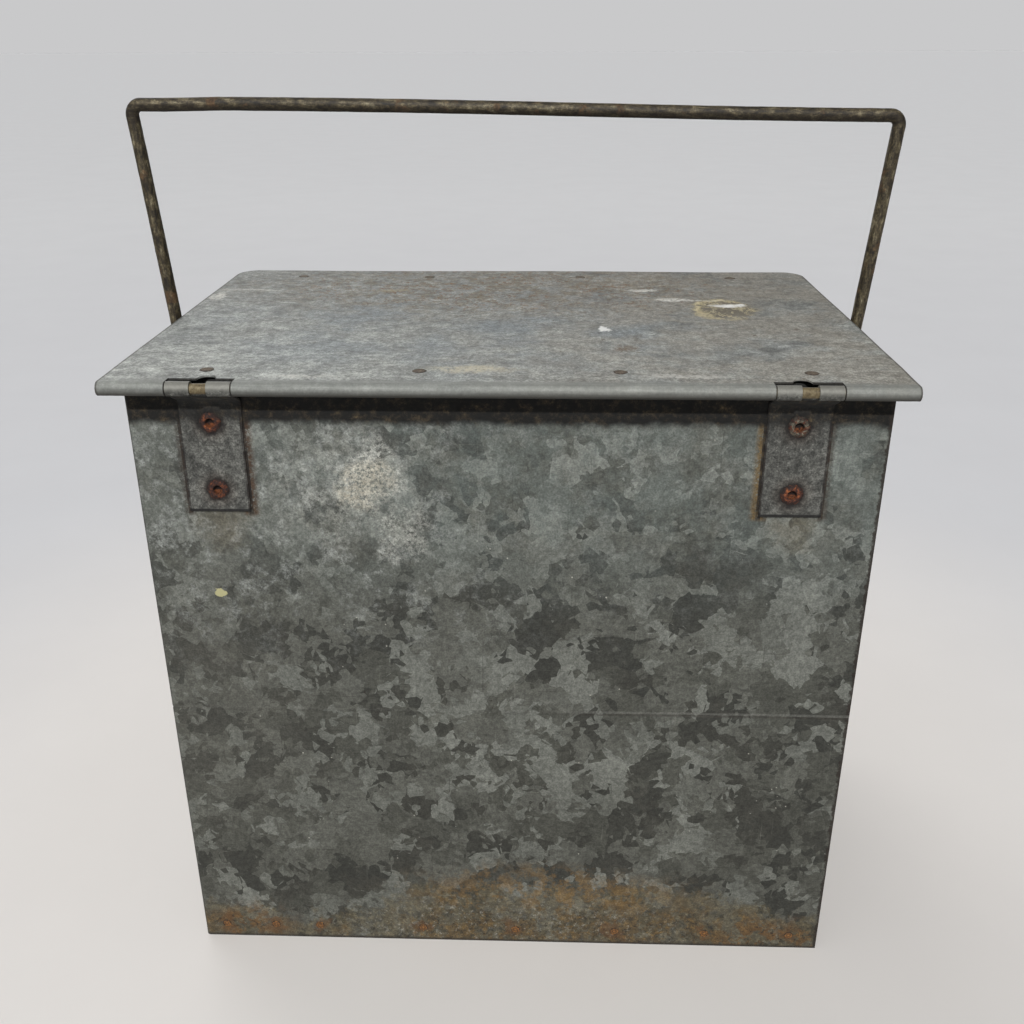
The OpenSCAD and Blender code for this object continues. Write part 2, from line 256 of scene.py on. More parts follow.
def cut_away(piece, cutters):
    """Cuts the cutter meshes out of a piece, then removes them"""
    for k, cutter in enumerate(cutters):
        step = piece.modifiers.new(f"cut{k}", "BOOLEAN")
        step.operation = "DIFFERENCE"
        step.solver = "EXACT"
        step.object = cutter
    bpy.context.view_layer.update()
    shaped = piece.evaluated_get(bpy.context.evaluated_depsgraph_get())
    mesh = bpy.data.meshes.new_from_object(shaped)
    piece.modifiers.clear()
    old = piece.data
    piece.data = mesh
    bpy.data.meshes.remove(old)
    for cutter in cutters:
        bpy.data.objects.remove(cutter)


def round_cutter(centre, axis, radius, length=CUT):
    """Loose cylinder for cut_away"""
    bm = bmesh.new()
    lathe(bm, [(0, -length / 2), (radius, -length / 2), (radius, length / 2), (0, length / 2)],
          facing(centre, axis), sides=48)
    bmesh.ops.recalc_face_normals(bm, faces=bm.faces)
    return mesh_object("cutter", bm)


def hinge_rivet_holes(name):
    """Cutters for a strap's two rivets"""
    return [round_cutter((rivet_x[name], HALF_D, z), (0, 1, 0), HINGE_HOLE_R)
            for z in rivet_zs[name]]


# ---------------------------------------------------------------- outer shell

CREASE_Z = 147.5 * MM
CREASE_DEPTH = 0.32 * MM
CREASE_HALF = 1.1 * MM
BACK_POINTS = 150                # points along each wall, and round each corner
SIDE_POINTS = 60
FRONT_POINTS = 90
LAP_POINTS = 8
CORNER_POINTS = 7


def crease(x, y, z):
    """Depth of the horizontal crease across the back, deeper on its -X half"""
    if y < HALF_D - 3 * MM or abs(z - CREASE_Z) > 3 * MM:
        return 0.0
    reach = 0.15 + 0.85 * fade(-x, 30 * MM, 60 * MM) * (1 - 0.5 * fade(-x, 120 * MM, 140 * MM))
    reach += 0.7 * fade(x, 145 * MM, 152 * MM)
    return CREASE_DEPTH * reach * (1 - fade(abs(z - CREASE_Z), 0, CREASE_HALF))


def wall_shape(x, y, z):
    """How far the walls stand out from flat, in metres: handling has left the sheet uneven"""
    edge = fade(z, 2 * MM, 40 * MM) * (1 - fade(z, RIM_Z - 60 * MM, RIM_Z - 8 * MM))
    from_corner = HALF_W - abs(x) if abs(y) > HALF_D - 3 * MM else HALF_D - abs(y)
    edge *= fade(from_corner, 2 * MM, 35 * MM)
    wave = 0.45 * wobble(x, y, z, 90 * MM, 1.7) + 0.16 * wobble(x, y, z, 28 * MM, 5.2)
    return edge * wave * MM - crease(x, y, z)


def perimeter(inset):
    """The wrapped sheet seen from above, from its rear seam round to its lap, with outward normals"""
    w, d = HALF_W - inset, HALF_D - inset
    r = max(CORNER_R - inset, 0.2 * MM)
    seam_y = HALF_D - SHEET - SEAM_GAP - inset
    mitre = inset if inset > SHEET * 1.01 else 0.0
    parts = []

    def straight(a, b, count, normal):
        for t in np.linspace(0, 1, count):
            parts.append((a[0] + (b[0] - a[0]) * t, a[1] + (b[1] - a[1]) * t, *normal))

    def corner(cx, cy, start, end):
        for a in np.radians(np.linspace(start, end, CORNER_POINTS))[1:-1]:
            parts.append((cx + r * math.cos(a), cy + r * math.sin(a), math.cos(a), math.sin(a)))

    straight((-HALF_W + mitre, d), (w - r, d), BACK_POINTS, (0, 1))
    corner(w - r, d - r, 90, 0)
    straight((w, d - r), (w, -d + r), SIDE_POINTS, (1, 0))
    corner(w - r, -d + r, 0, -90)
    straight((w - r, -d), (-w + r, -d), FRONT_POINTS, (0, -1))
    corner(-w + r, -d + r, -90, -180)
    straight((-w, -d + r), (-w, seam_y - r), SIDE_POINTS, (-1, 0))
    corner(-w + r, seam_y - r, 180, 90)
    straight((-w + r, seam_y), (-HALF_W + SEAM_LAP, seam_y), LAP_POINTS, (0, 1))
    return parts


def shell_section():
    """Rows of the wall, then of the bend and the rim's flange: how far in and how high each is"""
    near_crease = [CREASE_Z + d * MM for d in (-1.1, -0.7, -0.35, 0, 0.35, 0.7, 1.1)]
    wall = [(SHEET / 2, z) for z in steps(0, RIM_Z - RIM_BEND, 3.4 * MM, near_crease)]
    r = RIM_BEND - SHEET / 2
    bend = [(RIM_BEND - r * math.cos(a), RIM_Z - RIM_BEND + r * math.sin(a))
            for a in np.radians([22, 45, 68, 90])]
    flange = [(x, RIM_Z - SHEET / 2) for x in (3 * MM, 6 * MM, RIM_FLANGE)]
    return wall, bend + flange


def make_shell():
    wall, rim = shell_section()
    outer, inner = [], []
    for edges in zip(*both_sides(wall + rim, SHEET)):
        for grid, (inset, z) in zip((outer, inner), edges):
            row = []
            for x, y, nx, ny in perimeter(max(inset, 0.0)):
                stand = wall_shape(x, y, z)
                row.append((x + nx * stand, y + ny * stand, z))
            grid.append(row)
    outer, inner = np.array(outer), np.array(inner)
    # the lapped end, under the seam, has no flange
    lapped = LAP_POINTS - 1 + CORNER_POINTS - 2
    keep = all_cells(outer)
    keep[len(wall) - 1:, -lapped:] = False
    piece = new_piece("shell_sheet", thick_sheet(outer, inner, keep), "chest",
                      ["outer_shell"])
    holes = []
    for name, side in SIDES.items():
        wall_x = side * HALF_W
        holes.append(round_cutter((wall_x, 0, PIVOT_Z), (1, 0, 0), ROD_R + PIVOT_SLACK))
        holes += [round_cutter((wall_x, 0, z), (1, 0, 0), EAR_HOLE_R) for z in ear_rivet_zs]
        holes += hinge_rivet_holes(name)
    cut_away(piece, holes)


# ---------------------------------------------------------------- lid

LID_TOP = lid_high.z
LID_UNDER = LID_TOP - SHEET
LID_FRONT = lid_low.y
LID_HALF = lid_high.x


def lid_half_width(y):
    """Half the lid's width at y: its two front corners are rounded"""
    d = min(LID_CORNER_R, max(0.0, y - LID_FRONT))
    return LID_HALF - LID_CORNER_R + math.sqrt(LID_CORNER_R ** 2 - (LID_CORNER_R - d) ** 2)


def lid_shape(x, y):
    """How far the lid's top stands up from flat"""
    edge = 1 - fade(y, HINGE_Y - 30 * MM, HINGE_Y - 6 * MM)
    wave = 0.28 + 0.34 * wobble(x, y, 0, 110 * MM, 4.4) + 0.1 * wobble(x, y, 0, 35 * MM, 2.2)
    droop = 0.5 * fade(abs(x), LID_HALF - 25 * MM, LID_HALF) * wobble(0, y, 0, 60 * MM, 7.7)
    return edge * (max(wave, 0) + 0.3 * droop) * MM


def relief(x, y):
    """How far the sheet is drawn back so that each notch has a rounded relief"""
    near = min(abs(x - relief_x[s]) for s in SIDES)
    if near >= RELIEF_HALF or y > NOTCH_EDGE_Y + 1e-6:
        return 0.0
    drawn = 20 * MM
    reach = min(1.0, max(0.0, (y - NOTCH_EDGE_Y + drawn) / drawn))
    return RELIEF_DEPTH * math.sqrt(1 - (near / RELIEF_HALF) ** 2) * reach


def lid_path():
    """Middle of the sheet seen from the side: hem, fold, flat top, then the roll round the wire"""
    corner_ys = [LID_FRONT + LID_CORNER_R * (1 - math.cos(a))
                 for a in np.radians(np.arange(15, 91, 7.5))]
    hem = [(LID_FRONT + HEM_W * t, LID_UNDER - SHEET / 2) for t in (1, 0.75, 0.5, 0.3)]
    fold = arc((LID_FRONT + SHEET, LID_UNDER), SHEET / 2, 270, 90, 9)
    flat = [(y, LID_TOP - SHEET / 2)
            for y in steps(LID_FRONT + 1.2 * MM, HINGE_Y - 0.4 * MM, 4 * MM,
                           corner_ys + [NOTCH_EDGE_Y])]
    roll = arc((HINGE_Y, HINGE_Z), ROLL_R - SHEET / 2, 90, -210, 41)
    return hem + fold + flat + roll


def make_lid():
    path = lid_path()
    stops = [plate_x[s] + e * NOTCH_HALF for s in SIDES for e in (-1, 1)]
    stops += [relief_x[s] + RELIEF_HALF * math.cos(a)
              for s in SIDES for a in np.radians(np.linspace(0, 180, 13))]
    shares = [x / LID_HALF for x in steps(-LID_HALF, LID_HALF, 4 * MM, stops)]
    outer, inner = [], []
    for (y, z), over, under in zip(path, *both_sides(path, SHEET)):
        half = lid_half_width(y)
        for grid, (gy, gz) in ((outer, over), (inner, under)):
            grid.append([(u * half, gy - relief(u * half, y), gz + lid_shape(u * half, y))
                         for u in shares])
    outer, inner = np.array(outer), np.array(inner)
    keep = all_cells(outer)
    notch_row = next(k for k, (y, z) in enumerate(path) if y >= NOTCH_EDGE_Y - 1e-6)
    for j, (a, b) in enumerate(zip(shares, shares[1:])):
        middle = (a + b) / 2 * LID_HALF
        if any(abs(middle - plate_x[s]) < NOTCH_HALF for s in SIDES):
            keep[notch_row:, j] = False
    new_piece("lid_sheet", thick_sheet(outer, inner, keep), "lid", ["lid_skin"])


# ---------------------------------------------------------------- hinges

STRAP_SHEET = SHEET * 0.98
KNEE_Z = HINGE_Z - ROLL_R - 5.2 * MM         # where a strap turns out from the wall
NECK_Z = HINGE_Z - ROLL_R - 1 * MM           # where it meets its barrels
KNEE = [(0.1, -1.0), (0.35, -0.35), (0.85, 0.2), (1.5, 0.65)]


def strap_path():
    """Middle of a strap seen from the side, from its foot over the knee and round the barrels"""
    flat_y = HALF_D + SHEET / 2
    rise_y = HINGE_Y - ROLL_R + SHEET / 2
    path = [(flat_y, z) for z in steps(plate_low_z, KNEE_Z - 2 * MM, 2.5 * MM)]
    path += [(flat_y + d * MM, KNEE_Z + e * MM) for d, e in KNEE]
    path += [(flat_y + (rise_y - flat_y) * t, KNEE_Z + (NECK_Z - KNEE_Z) * t)
             for t in (0.25, 0.45, 0.65, 0.82)]
    path += [(rise_y - 0.55 * MM, NECK_Z - 0.3 * MM), (rise_y - 0.1 * MM, NECK_Z + 0.5 * MM),
             (rise_y, NECK_Z + 1.5 * MM)]
    return path + arc((HINGE_Y, HINGE_Z), ROLL_R - SHEET / 2, 180, -166, 47)


def make_strap(name):
    """Strap that lies on the back wall, rises to the axis and is rolled into two barrels"""
    side = SIDES[name]
    path = strap_path()
    xs = steps(-plate_half, plate_half, 2.4 * MM, [-GAP_HALF, GAP_HALF])

    def grid(edge):
        made = []
        for (y, z), (_, pz) in zip(edge, path):
            lift = 0.5 * MM * (1 - fade(pz, plate_low_z, plate_low_z + 9 * MM))
            flat = 1 - fade(pz, KNEE_Z - 6 * MM, KNEE_Z)
            slip = 0.25 * MM * wobble(0, pz, 0, 9 * MM, 4 * side) * flat
            slip += LEAN[name] * (1 - fade(pz, RIM_Z - 30 * MM, RIM_Z - 10 * MM))
            row = []
            for x in xs:
                dent = 0.1 * MM * wobble(x, pz, 0, 14 * MM, 2.0 + side) * flat
                row.append((plate_x[name] + x + slip, y + lift + abs(dent), z))
            made.append(row)
        return np.array(made)

    outer, inner = (grid(edge) for edge in both_sides(path, STRAP_SHEET))
    keep = all_cells(outer)
    web_row = next(k for k, (y, z) in enumerate(path) if z > WEB_TOP)
    for j, (p, q) in enumerate(zip(xs, xs[1:])):
        if abs((p + q) / 2) < GAP_HALF:
            keep[web_row:, j] = False
    piece = new_piece(f"hinge_strap_{name}", thick_sheet(outer, inner, keep), "chest",
                      [f"hinge_plate_{name}"], sharp=50)
    cut_away(piece, hinge_rivet_holes(name))


# hollow rivet of unit size: from the bottom of its bore out over the flare, then its tail
FLARE = [(0, -1.3), (1.3, -1.25), (1.75, -0.9), (1.85, -0.1), (2.0, 0.65), (2.35, 1.12),
         (2.85, 1.3), (3.4, 1.16), (4.1, 0.85), (4.75, 0.5), (5.0, 0.16), (4.9, 0.04), (2.45, 0.03)]
TAIL = [(2.45, -0.04), (4.0, -0.06), (4.0, -0.7), (0, -0.75)]


def rivet_set(name, node, centres, axis, size, grip, seed):
    """Rivets with torn, uneven flares, all in one piece; grip is the thickness that they hold"""
    profile = [(r * size, h * size) for r, h in FLARE]
    profile += [(r * size, h * size - grip) for r, h in TAIL]
    bm = bmesh.new()
    for n, centre in enumerate(centres):
        def warp(r, h, a, n=n):
            c, s = math.cos(a), math.sin(a)
            if h < 0.02 * size and r > 1.7 * size:
                return r, h
            grow = fade(r, 1.3 * size, 4.0 * size)
            lump = wobble(c, s, n, 0.9, seed + 2.3 * n)
            fine = wobble(c, s, n, 0.28, seed + 5.1 * n)
            r += size * (0.5 * lump + 0.44 * fine) * grow - 0.2 * size * grow
            raised = fade(h, 0, 0.8 * size)
            return r, h + size * (0.2 * lump + 0.26 * fine) * raised - 0.16 * size * raised
        lathe(bm, profile, facing(centre, axis), 48, warp)
    new_piece(name, bm, "chest", [node], sharp=60)


def make_rivets(name):
    side = SIDES[name]
    centres = [(rivet_x[name], HALF_D + SHEET, z) for z in rivet_zs[name]]
    rivet_set(f"hinge_rivet_pair_{name}", f"hinge_rivets_{name}", centres, (0, 1, 0),
              MM, 2 * SHEET, 3.0 + 1.7 * side)
    ear_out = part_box(f"bail_ear_{name}")[1 if side > 0 else 0].x
    centres = [(ear_out, 0, z) for z in ear_rivet_zs]
    rivet_set(f"ear_rivet_pair_{name}", f"ear_rivets_{name}", centres, (side, 0, 0),
              0.75 * MM, abs(ear_out) - HALF_W + SHEET, 8.0 + 1.3 * side)


def make_pin():
    """Wire through the roll and the barrels, scaly with rust where it shows"""
    path = [(x, HINGE_Y, HINGE_Z) for x in steps(-wire_high.x, wire_high.x, 2 * MM)]

    def scale(p):
        return -0.05 * MM + 0.05 * MM * wobble(*p, 3 * MM, 6.6)
    new_piece("hinge_pin", tube(path, WIRE_R, 20, scale), "lid", ["hinge_wire"])


# ---------------------------------------------------------------- bail

EAR_POINTS = 96
EAR_EASE = 0.35 * MM             # how far the ear's edges are rounded over


def make_ear(name):
    """Plate with eased edges round the hole that carries the bail"""
    side = SIDES[name]
    low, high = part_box(f"bail_ear_{name}")
    half_w = high.y
    straight = (high.z - low.z) / 2 - half_w
    hole_r = ROD_R + PIVOT_SLACK
    turns = [(math.cos(a), math.sin(a)) for a in
             (2 * math.pi * k / EAR_POINTS for k in range(EAR_POINTS))]

    def outline(inset, x):
        r = half_w - inset
        return [(x, r * c, PIVOT_Z + r * s + math.copysign(straight, s + 1e-9)) for c, s in turns]

    def hole(r, x):
        return [(x, r * c, PIVOT_Z + r * s) for c, s in turns]

    wall = side * HALF_W
    face = side * (HALF_W + high.x - low.x)
    eased = face - side * EAR_EASE
    rings = [hole(hole_r, wall), outline(0, wall), outline(0, eased),
             outline(0.3 * EAR_EASE, face - side * 0.3 * EAR_EASE), outline(EAR_EASE, face),
             hole(hole_r + EAR_EASE, face), hole(hole_r, eased)]
    bm = bmesh.new()
    made = [[bm.verts.new(p) for p in ring] for ring in rings]
    for lower, upper in zip(made, made[1:] + made[:1]):
        for k in range(EAR_POINTS):
            n = (k + 1) % EAR_POINTS
            bm.faces.new([lower[k], lower[n], upper[n], upper[k]])
    piece = new_piece(f"bail_lug_{name}", bm, "chest", [f"bail_ear_{name}"])
    cut_away(piece, [round_cutter((wall, 0, z), (1, 0, 0), EAR_HOLE_R, 2 * CUT)
                     for z in ear_rivet_zs])


def rounded(corners, radius):
    """The line through 2D corners, with an arc at each but the two ends"""
    points = [Vector(corners[0])]
    for before, corner, after in zip(corners, corners[1:], corners[2:]):
        here = Vector(corner)
        back = (Vector(before) - here).normalized()
        ahead = (Vector(after) - here).normalized()
        half = back.angle(ahead) / 2
        set_back = radius / math.tan(half)
        start, end = here + back * set_back, here + ahead * set_back
        middle = here + (back + ahead).normalized() * radius / math.sin(half)
        a0 = math.atan2(*(start - middle).yx)
        a1 = math.atan2(*(end - middle).yx)
        sweep = (a1 - a0 + math.pi) % (2 * math.pi) - math.pi
        points += [middle + radius * Vector((math.cos(a0 + sweep * t), math.sin(a0 + sweep * t)))
                   for t in np.linspace(0, 1, 12)]
    return points + [Vector(corners[-1])]


def bail_path():
    """Centreline from the +X stub over the bar to the -X stub, a little wavy like the bent rod"""
    pivot_half = HALF_W + ARM_OUT
    bar_half = bail_high.x - ROD_R
    points = rounded([(HALF_W - STUB_IN, PIVOT_Z), (pivot_half, PIVOT_Z),
                      (bar_half, BAR_Z + BAR_RISE / 2), (-bar_half, BAR_Z - BAR_RISE / 2),
                      (-pivot_half, PIVOT_Z), (-HALF_W + STUB_IN, PIVOT_Z)], BEND_R)
    fine = [points[0]]
    for a, b in zip(points, points[1:]):
        count = max(1, round((b - a).length / (2.5 * MM)))
        fine += [a + (b - a) * k / count for k in range(1, count + 1)]
    made = []
    for p in fine:
        on_bar = fade(p.y, BAR_Z - 30 * MM, BAR_Z - 8 * MM)
        x = p.x / bar_half
        wave = 0.42 * math.sin(3.1 * x + 0.55) - 0.8 * fade(x, 0.72, 0.95) - 0.1
        loose = fade(p.y, PIVOT_Z + 25 * MM, PIVOT_Z + 60 * MM)
        made.append((p.x, 0.35 * MM * loose * wobble(p.x, 0, p.y, 120 * MM, 3.3),
                     p.y + wave * MM * on_bar))
    return made


def make_bail():
    def rough(p):
        return (-0.06 + 0.07 * wobble(*p, 7 * MM, 1.1) + 0.04 * wobble(*p, 2.2 * MM, 9.1)) * MM
    new_piece("bail_rod", tube(bail_path(), ROD_R, 28, rough), "bail", ["bail"],
              sharp=60)


# ---------------------------------------------------------------- spot welds

# share of the radius, and height in mm
WELD_PROFILE = [(0, 0.05), (0.25, 0.05), (0.45, 0.06), (0.7, 0.16), (0.85, 0.2), (1, 0.04),
                (1, -0.3), (0, -0.3)]
SHELL_WELD_R = 2.4 * MM
SHELL_WELD_Z = 8.5 * MM
LID_WELD_R = 3.1 * MM
# places in mm: x along the back and the front, y along each side, and x, y on the lid
SHELL_WELDS_BACK = [153, 126, 102, 46, -4, -57, -105, -150]
SHELL_WELDS_FRONT = [-148, -103, -60, -8, 41, 99, 147]
SHELL_WELDS_SIDE = [-80, -28, 26, 78]
LID_WELDS = [(129, 98.5), (37, 98.5), (-49, 98.5), (-130, 98.5),
             (129, -100.5), (53, -100.5), (-37, -100.5), (-126, -100.5)]


def weld_disc(bm, centre, axis, radius, seed):
    """Shallow dished spot with a slightly raised rim"""
    def warp(r, h, a):
        return r * (1 + 0.1 * wobble(math.cos(a), math.sin(a), seed, 0.8, seed)), h
    profile = [(share * radius, height * MM) for share, height in WELD_PROFILE]
    rings = lathe(bm, profile, facing(centre, axis), 28, warp)
    reach = bm.verts.layers.float["reach"]
    for (share, height), ring in zip(WELD_PROFILE, rings):
        for vert in ring:
            vert[reach] = share


def weld_set(name, body, welds, radius):
    """Welds in one piece, each given by its centre, its axis and a seed"""
    bm = bmesh.new()
    bm.verts.layers.float.new("reach")
    for centre, axis, seed in welds:
        weld_disc(bm, centre, axis, radius, seed)
    new_piece(name, bm, body, sharp=60)


def make_welds():
    welds = [((x * MM, HALF_D, SHELL_WELD_Z), (0, 1, 0), n)
             for n, x in enumerate(SHELL_WELDS_BACK)]
    welds += [((x * MM, -HALF_D, SHELL_WELD_Z), (0, -1, 0), 20 + n)
              for n, x in enumerate(SHELL_WELDS_FRONT)]
    welds += [((s * HALF_W, y * MM, SHELL_WELD_Z), (s, 0, 0), 40 + n + s)
              for s in SIDES.values() for n, y in enumerate(SHELL_WELDS_SIDE)]
    weld_set("shell_spot_welds", "chest", welds, SHELL_WELD_R)
    sunk = 0.03 * MM
    weld_set("lid_spot_welds", "lid",
             [((x * MM, y * MM, LID_TOP + lid_shape(x * MM, y * MM) - sunk), (0, 0, 1), 60 + n)
              for n, (x, y) in enumerate(LID_WELDS)], LID_WELD_R)


make_shell()
make_lid()
for s in SIDES:
    make_strap(s)
for s in SIDES:
    make_rivets(s)
for s in SIDES:
    make_ear(s)
make_pin()
make_bail()
make_welds()


# ---------------------------------------------------------------- materials

def linear(colour):
    """Linear RGBA of an 8-bit RGB colour; a socket or an RGBA colour passes through"""
    if not isinstance(colour, tuple) or len(colour) == 4:
        return colour
    shares = [v / 255 for v in colour]
    return (*(v / 12.92 if v <= 0.04045 else ((v + 0.055) / 1.055) ** 2.4 for v in shares), 1.0)


class Paint:
    """A material built up in layers; colour, rough, metal and height are sockets or numbers.

    The sizes of noise, cells, spots and shifts are in mm, as the patterns are fine; places and
    heights are in metres. Colours are 8-bit RGB.
    """

    def __init__(self, name):
        self.material = bpy.data.materials.new(name)
        self.material.use_nodes = True
        self.tree = self.material.node_tree
        self.tree.nodes.clear()
        self.place = self.node("ShaderNodeTexCoord").outputs["Object"]
        self.x, self.y, self.z = self.node("ShaderNodeSeparateXYZ", {0: self.place}).outputs
        self.colour = (0.5, 0.5, 0.5, 1.0)
        self.rough = 0.5
        self.metal = 0.0
        self.height = 0.0

    def node(self, kind, inputs=None, **settings):
        made = self.tree.nodes.new(kind)
        for key, value in settings.items():
            setattr(made, key, value)
        for key, value in (inputs or {}).items():
            self.put(made.inputs[key], value)
        return made

    def put(self, socket, value):
        if isinstance(value, bpy.types.NodeSocket):
            self.tree.links.new(value, socket)
        else:
            socket.default_value = value

    def math(self, operation, a, b=0.0, clamp=False):
        return self.node("ShaderNodeMath", {0: a, 1: b}, operation=operation,
                         use_clamp=clamp).outputs[0]

    def vector(self, operation, a, b=None):
        made = self.node("ShaderNodeVectorMath", {0: a} if b is None else {0: a, 1: b},
                         operation=operation)
        return made.outputs["Value" if operation == "LENGTH" else "Vector"]

    def chain(self, operation, values):
        made = values[0]
        for value in values[1:]:
            made = self.math(operation, made, value)
        return made

    def mul(self, *values):
        return self.chain("MULTIPLY", values)

    def most(self, *values):
        return self.chain("MAXIMUM", values)

    def add(self, *values):
        return self.chain("ADD", values)

    def between(self, value, low, high, to_low=0.0, to_high=1.0):
        """Smooth step from to_low at low to to_high at high"""
        return self.node("ShaderNodeMapRange", {"Value": value, "From Min": low, "From Max": high,
                                                "To Min": to_low, "To Max": to_high},
                         interpolation_type="SMOOTHSTEP").outputs["Result"]

    def band(self, value, low, high, soft):
        """1 between low and high, falling off over soft outside them"""
        return self.mul(self.between(value, low - soft, low),
                        self.between(value, high, high + soft, 1.0, 0.0))

    def strip(self, value, centre, half, soft):
        """1 within half of the centre, falling off over soft outside it"""
        return self.band(value, centre - half, centre + half, soft)

    def noise(self, size, detail=2.0, rough=0.5, at=None, colour=False, seed=0.0):
        """Noise with features of that size; three sizes draw them out along x, y and z"""
        at = at or self.place
        scale = 1.0
        if isinstance(size, tuple):
            at = self.vector("MULTIPLY", at, tuple(1 / (s * MM) for s in size))
        else:
            scale = 1 / (size * MM)
        made = self.node("ShaderNodeTexNoise", {"Scale": scale, "Detail": detail, "Roughness": rough},
                         noise_dimensions="4D" if seed else "3D")
        self.put(made.inputs["Vector"], at)
        if seed:
            self.put(made.inputs["W"], seed)
        return made.outputs["Color" if colour else "Fac"]

    def patchy(self, size, low, high, detail=4.0, rough=0.7, seed=0.0, floor=0.0):
        """Noise sharpened into patches: floor where it is under low, 1 where it is over high"""
        return self.between(self.noise(size, detail, rough, seed=seed), low, high, floor, 1.0)

    def cells(self, size, at=None, out="Color"):
        return self.node("ShaderNodeTexVoronoi", {"Vector": at or self.place,
                                                  "Scale": 1 / (size * MM)}).outputs[out]

    def pushed(self, amount, by, at=None):
        """Coordinates moved by a colour centred on grey, up to amount either way"""
        shift = self.vector("SUBTRACT", by, (0.5,) * 3)
        shift = self.vector("MULTIPLY", shift, (2 * amount * MM,) * 3)
        return self.vector("ADD", at or self.place, shift)

    def torn(self, amount, size, detail=4.0, rough=0.7, seed=0.0):
        """Coordinates moved by noise, which give what is drawn with them a ragged outline"""
        return self.pushed(amount, self.noise(size, detail, rough, colour=True, seed=seed))

    def wandering(self, value, size, reach, rough, seed):
        """A coordinate that noise moves up to reach either way, for an edge that isn't straight"""
        return self.add(value, self.between(self.noise(size, 4.0, rough, seed=seed), 0.3, 0.7,
                                            -reach * MM, reach * MM))

    def spot(self, centre, radii, soft=0.4, at=None):
        """1 inside an ellipsoid, 0 outside, soft at its edge"""
        off = self.vector("SUBTRACT", at or self.place, centre)
        off = self.vector("MULTIPLY", off, tuple(1 / (r * MM) for r in radii))
        return self.between(self.vector("LENGTH", off), 1 - soft, 1 + soft, 1.0, 0.0)

    def ramp(self, value, stops):
        made = self.node("ShaderNodeValToRGB", {0: value})
        elements = made.color_ramp.elements
        while len(elements) < len(stops):
            elements.new(0.5)
        for element, (place, colour) in zip(elements, stops):
            element.position = place
            element.color = linear(colour)
        return made.outputs["Color"]

    def mix(self, share, a, b, blend="MIX"):
        return self.node("ShaderNodeMix", {0: share, 6: a, 7: b}, data_type="RGBA",
                         blend_type=blend).outputs[2]

    def blend(self, share, a, b):
        return self.node("ShaderNodeMix", {0: share, 2: a, 3: b}, data_type="FLOAT").outputs[0]

    def coat(self, masks, colour=None, rough=None, metal=None, height=None):
        """Lays a layer over what is there, as strongly as the masks' product"""
        mask = self.mul(*masks)
        if colour is not None:
            self.colour = self.mix(mask, self.colour, linear(colour))
        if rough is not None:
            self.rough = self.blend(mask, self.rough, rough)
        if metal is not None:
            self.metal = self.blend(mask, self.metal, metal)
        if height is not None:
            self.height = self.add(self.height, self.mul(mask, height))

    def shade(self, value, dark, light):
        """Multiplies the colour by dark where value is 0 and by light where it is 1"""
        grey = self.ramp(value, [(0, (dark, dark, dark, 1)), (1, (light, light, light, 1))])
        self.colour = self.mix(1.0, self.colour, grey, "MULTIPLY")

    def done(self, bump=1.0, normal=None, gloss=0.5):
        shader = self.node("ShaderNodeBsdfPrincipled", {"Base Color": self.colour,
                                                        "Roughness": self.rough,
                                                        "Metallic": self.metal})
        lift = self.node("ShaderNodeBump", {"Height": self.height, "Distance": 1.0,
                                            "Strength": bump})
        if normal is not None:
            self.put(lift.inputs["Normal"], normal)
        self.put(shader.inputs["Normal"], lift.outputs["Normal"])
        shader.inputs["Specular IOR Level"].default_value = gloss
        out = self.node("ShaderNodeOutputMaterial")
        self.tree.links.new(shader.outputs[0], out.inputs[0])
        return self.material


def on_back(x, z):
    """Place on the back wall, from mm"""
    return (x * MM, HALF_D, z * MM)


def flakes(p, size, contrast, tones, seed=0.0):
    """Zinc spangle: leafy flakes in a few tones, each with fine veins that run its own way"""
    soft = p.noise(0.8 * size, colour=True, seed=seed)
    at = p.pushed(0.2 * size, p.cells(0.34 * size))
    at = p.pushed(0.26 * size, soft, at)
    large = p.cells(size, at)
    small = p.cells(0.5 * size, at)
    pick = p.node("ShaderNodeSeparateColor", {0: large}).outputs
    pick_small = p.node("ShaderNodeSeparateColor", {0: small}).outputs
    drift = p.noise(5 * size, seed=seed + 1.3)
    mixed = p.blend(p.between(pick_small[1], 0.68, 0.7), pick[0], pick_small[0])
    tone = p.math("ADD", mixed, p.between(drift, 0.3, 0.7, -0.13, 0.13), clamp=True)
    p.colour = p.ramp(tone, tones)
    turned = p.node("ShaderNodeVectorRotate",
                    {"Vector": p.place, "Rotation": p.vector("MULTIPLY", large, (6.3,) * 3)},
                    rotation_type="EULER_XYZ").outputs[0]
    veins = p.noise((1.3, 7, 7), 3.0, 0.6, at=turned)
    p.shade(p.between(veins, 0.3, 0.7), 0.86, 1.14)
    tilt = p.vector("MULTIPLY", p.vector("SUBTRACT", large, (0.5,) * 3), (contrast,) * 3)
    flat = p.node("ShaderNodeNewGeometry").outputs["Normal"]
    return tone, p.vector("NORMALIZE", p.vector("ADD", flat, tilt))


def grain(p, strength):
    """Fine and coarser speckle over whatever is there"""
    fine = p.noise(0.9, 2.0, 0.7)
    p.shade(p.between(fine, 0.34, 0.66), 1 - strength, 1 + strength)
    p.shade(p.patchy(2.6, 0.32, 0.68, 3.0, 0.65, 31.0), 1 - strength, 1 + strength)
    p.height = p.add(p.height, p.mul(fine, 0.04 * MM))


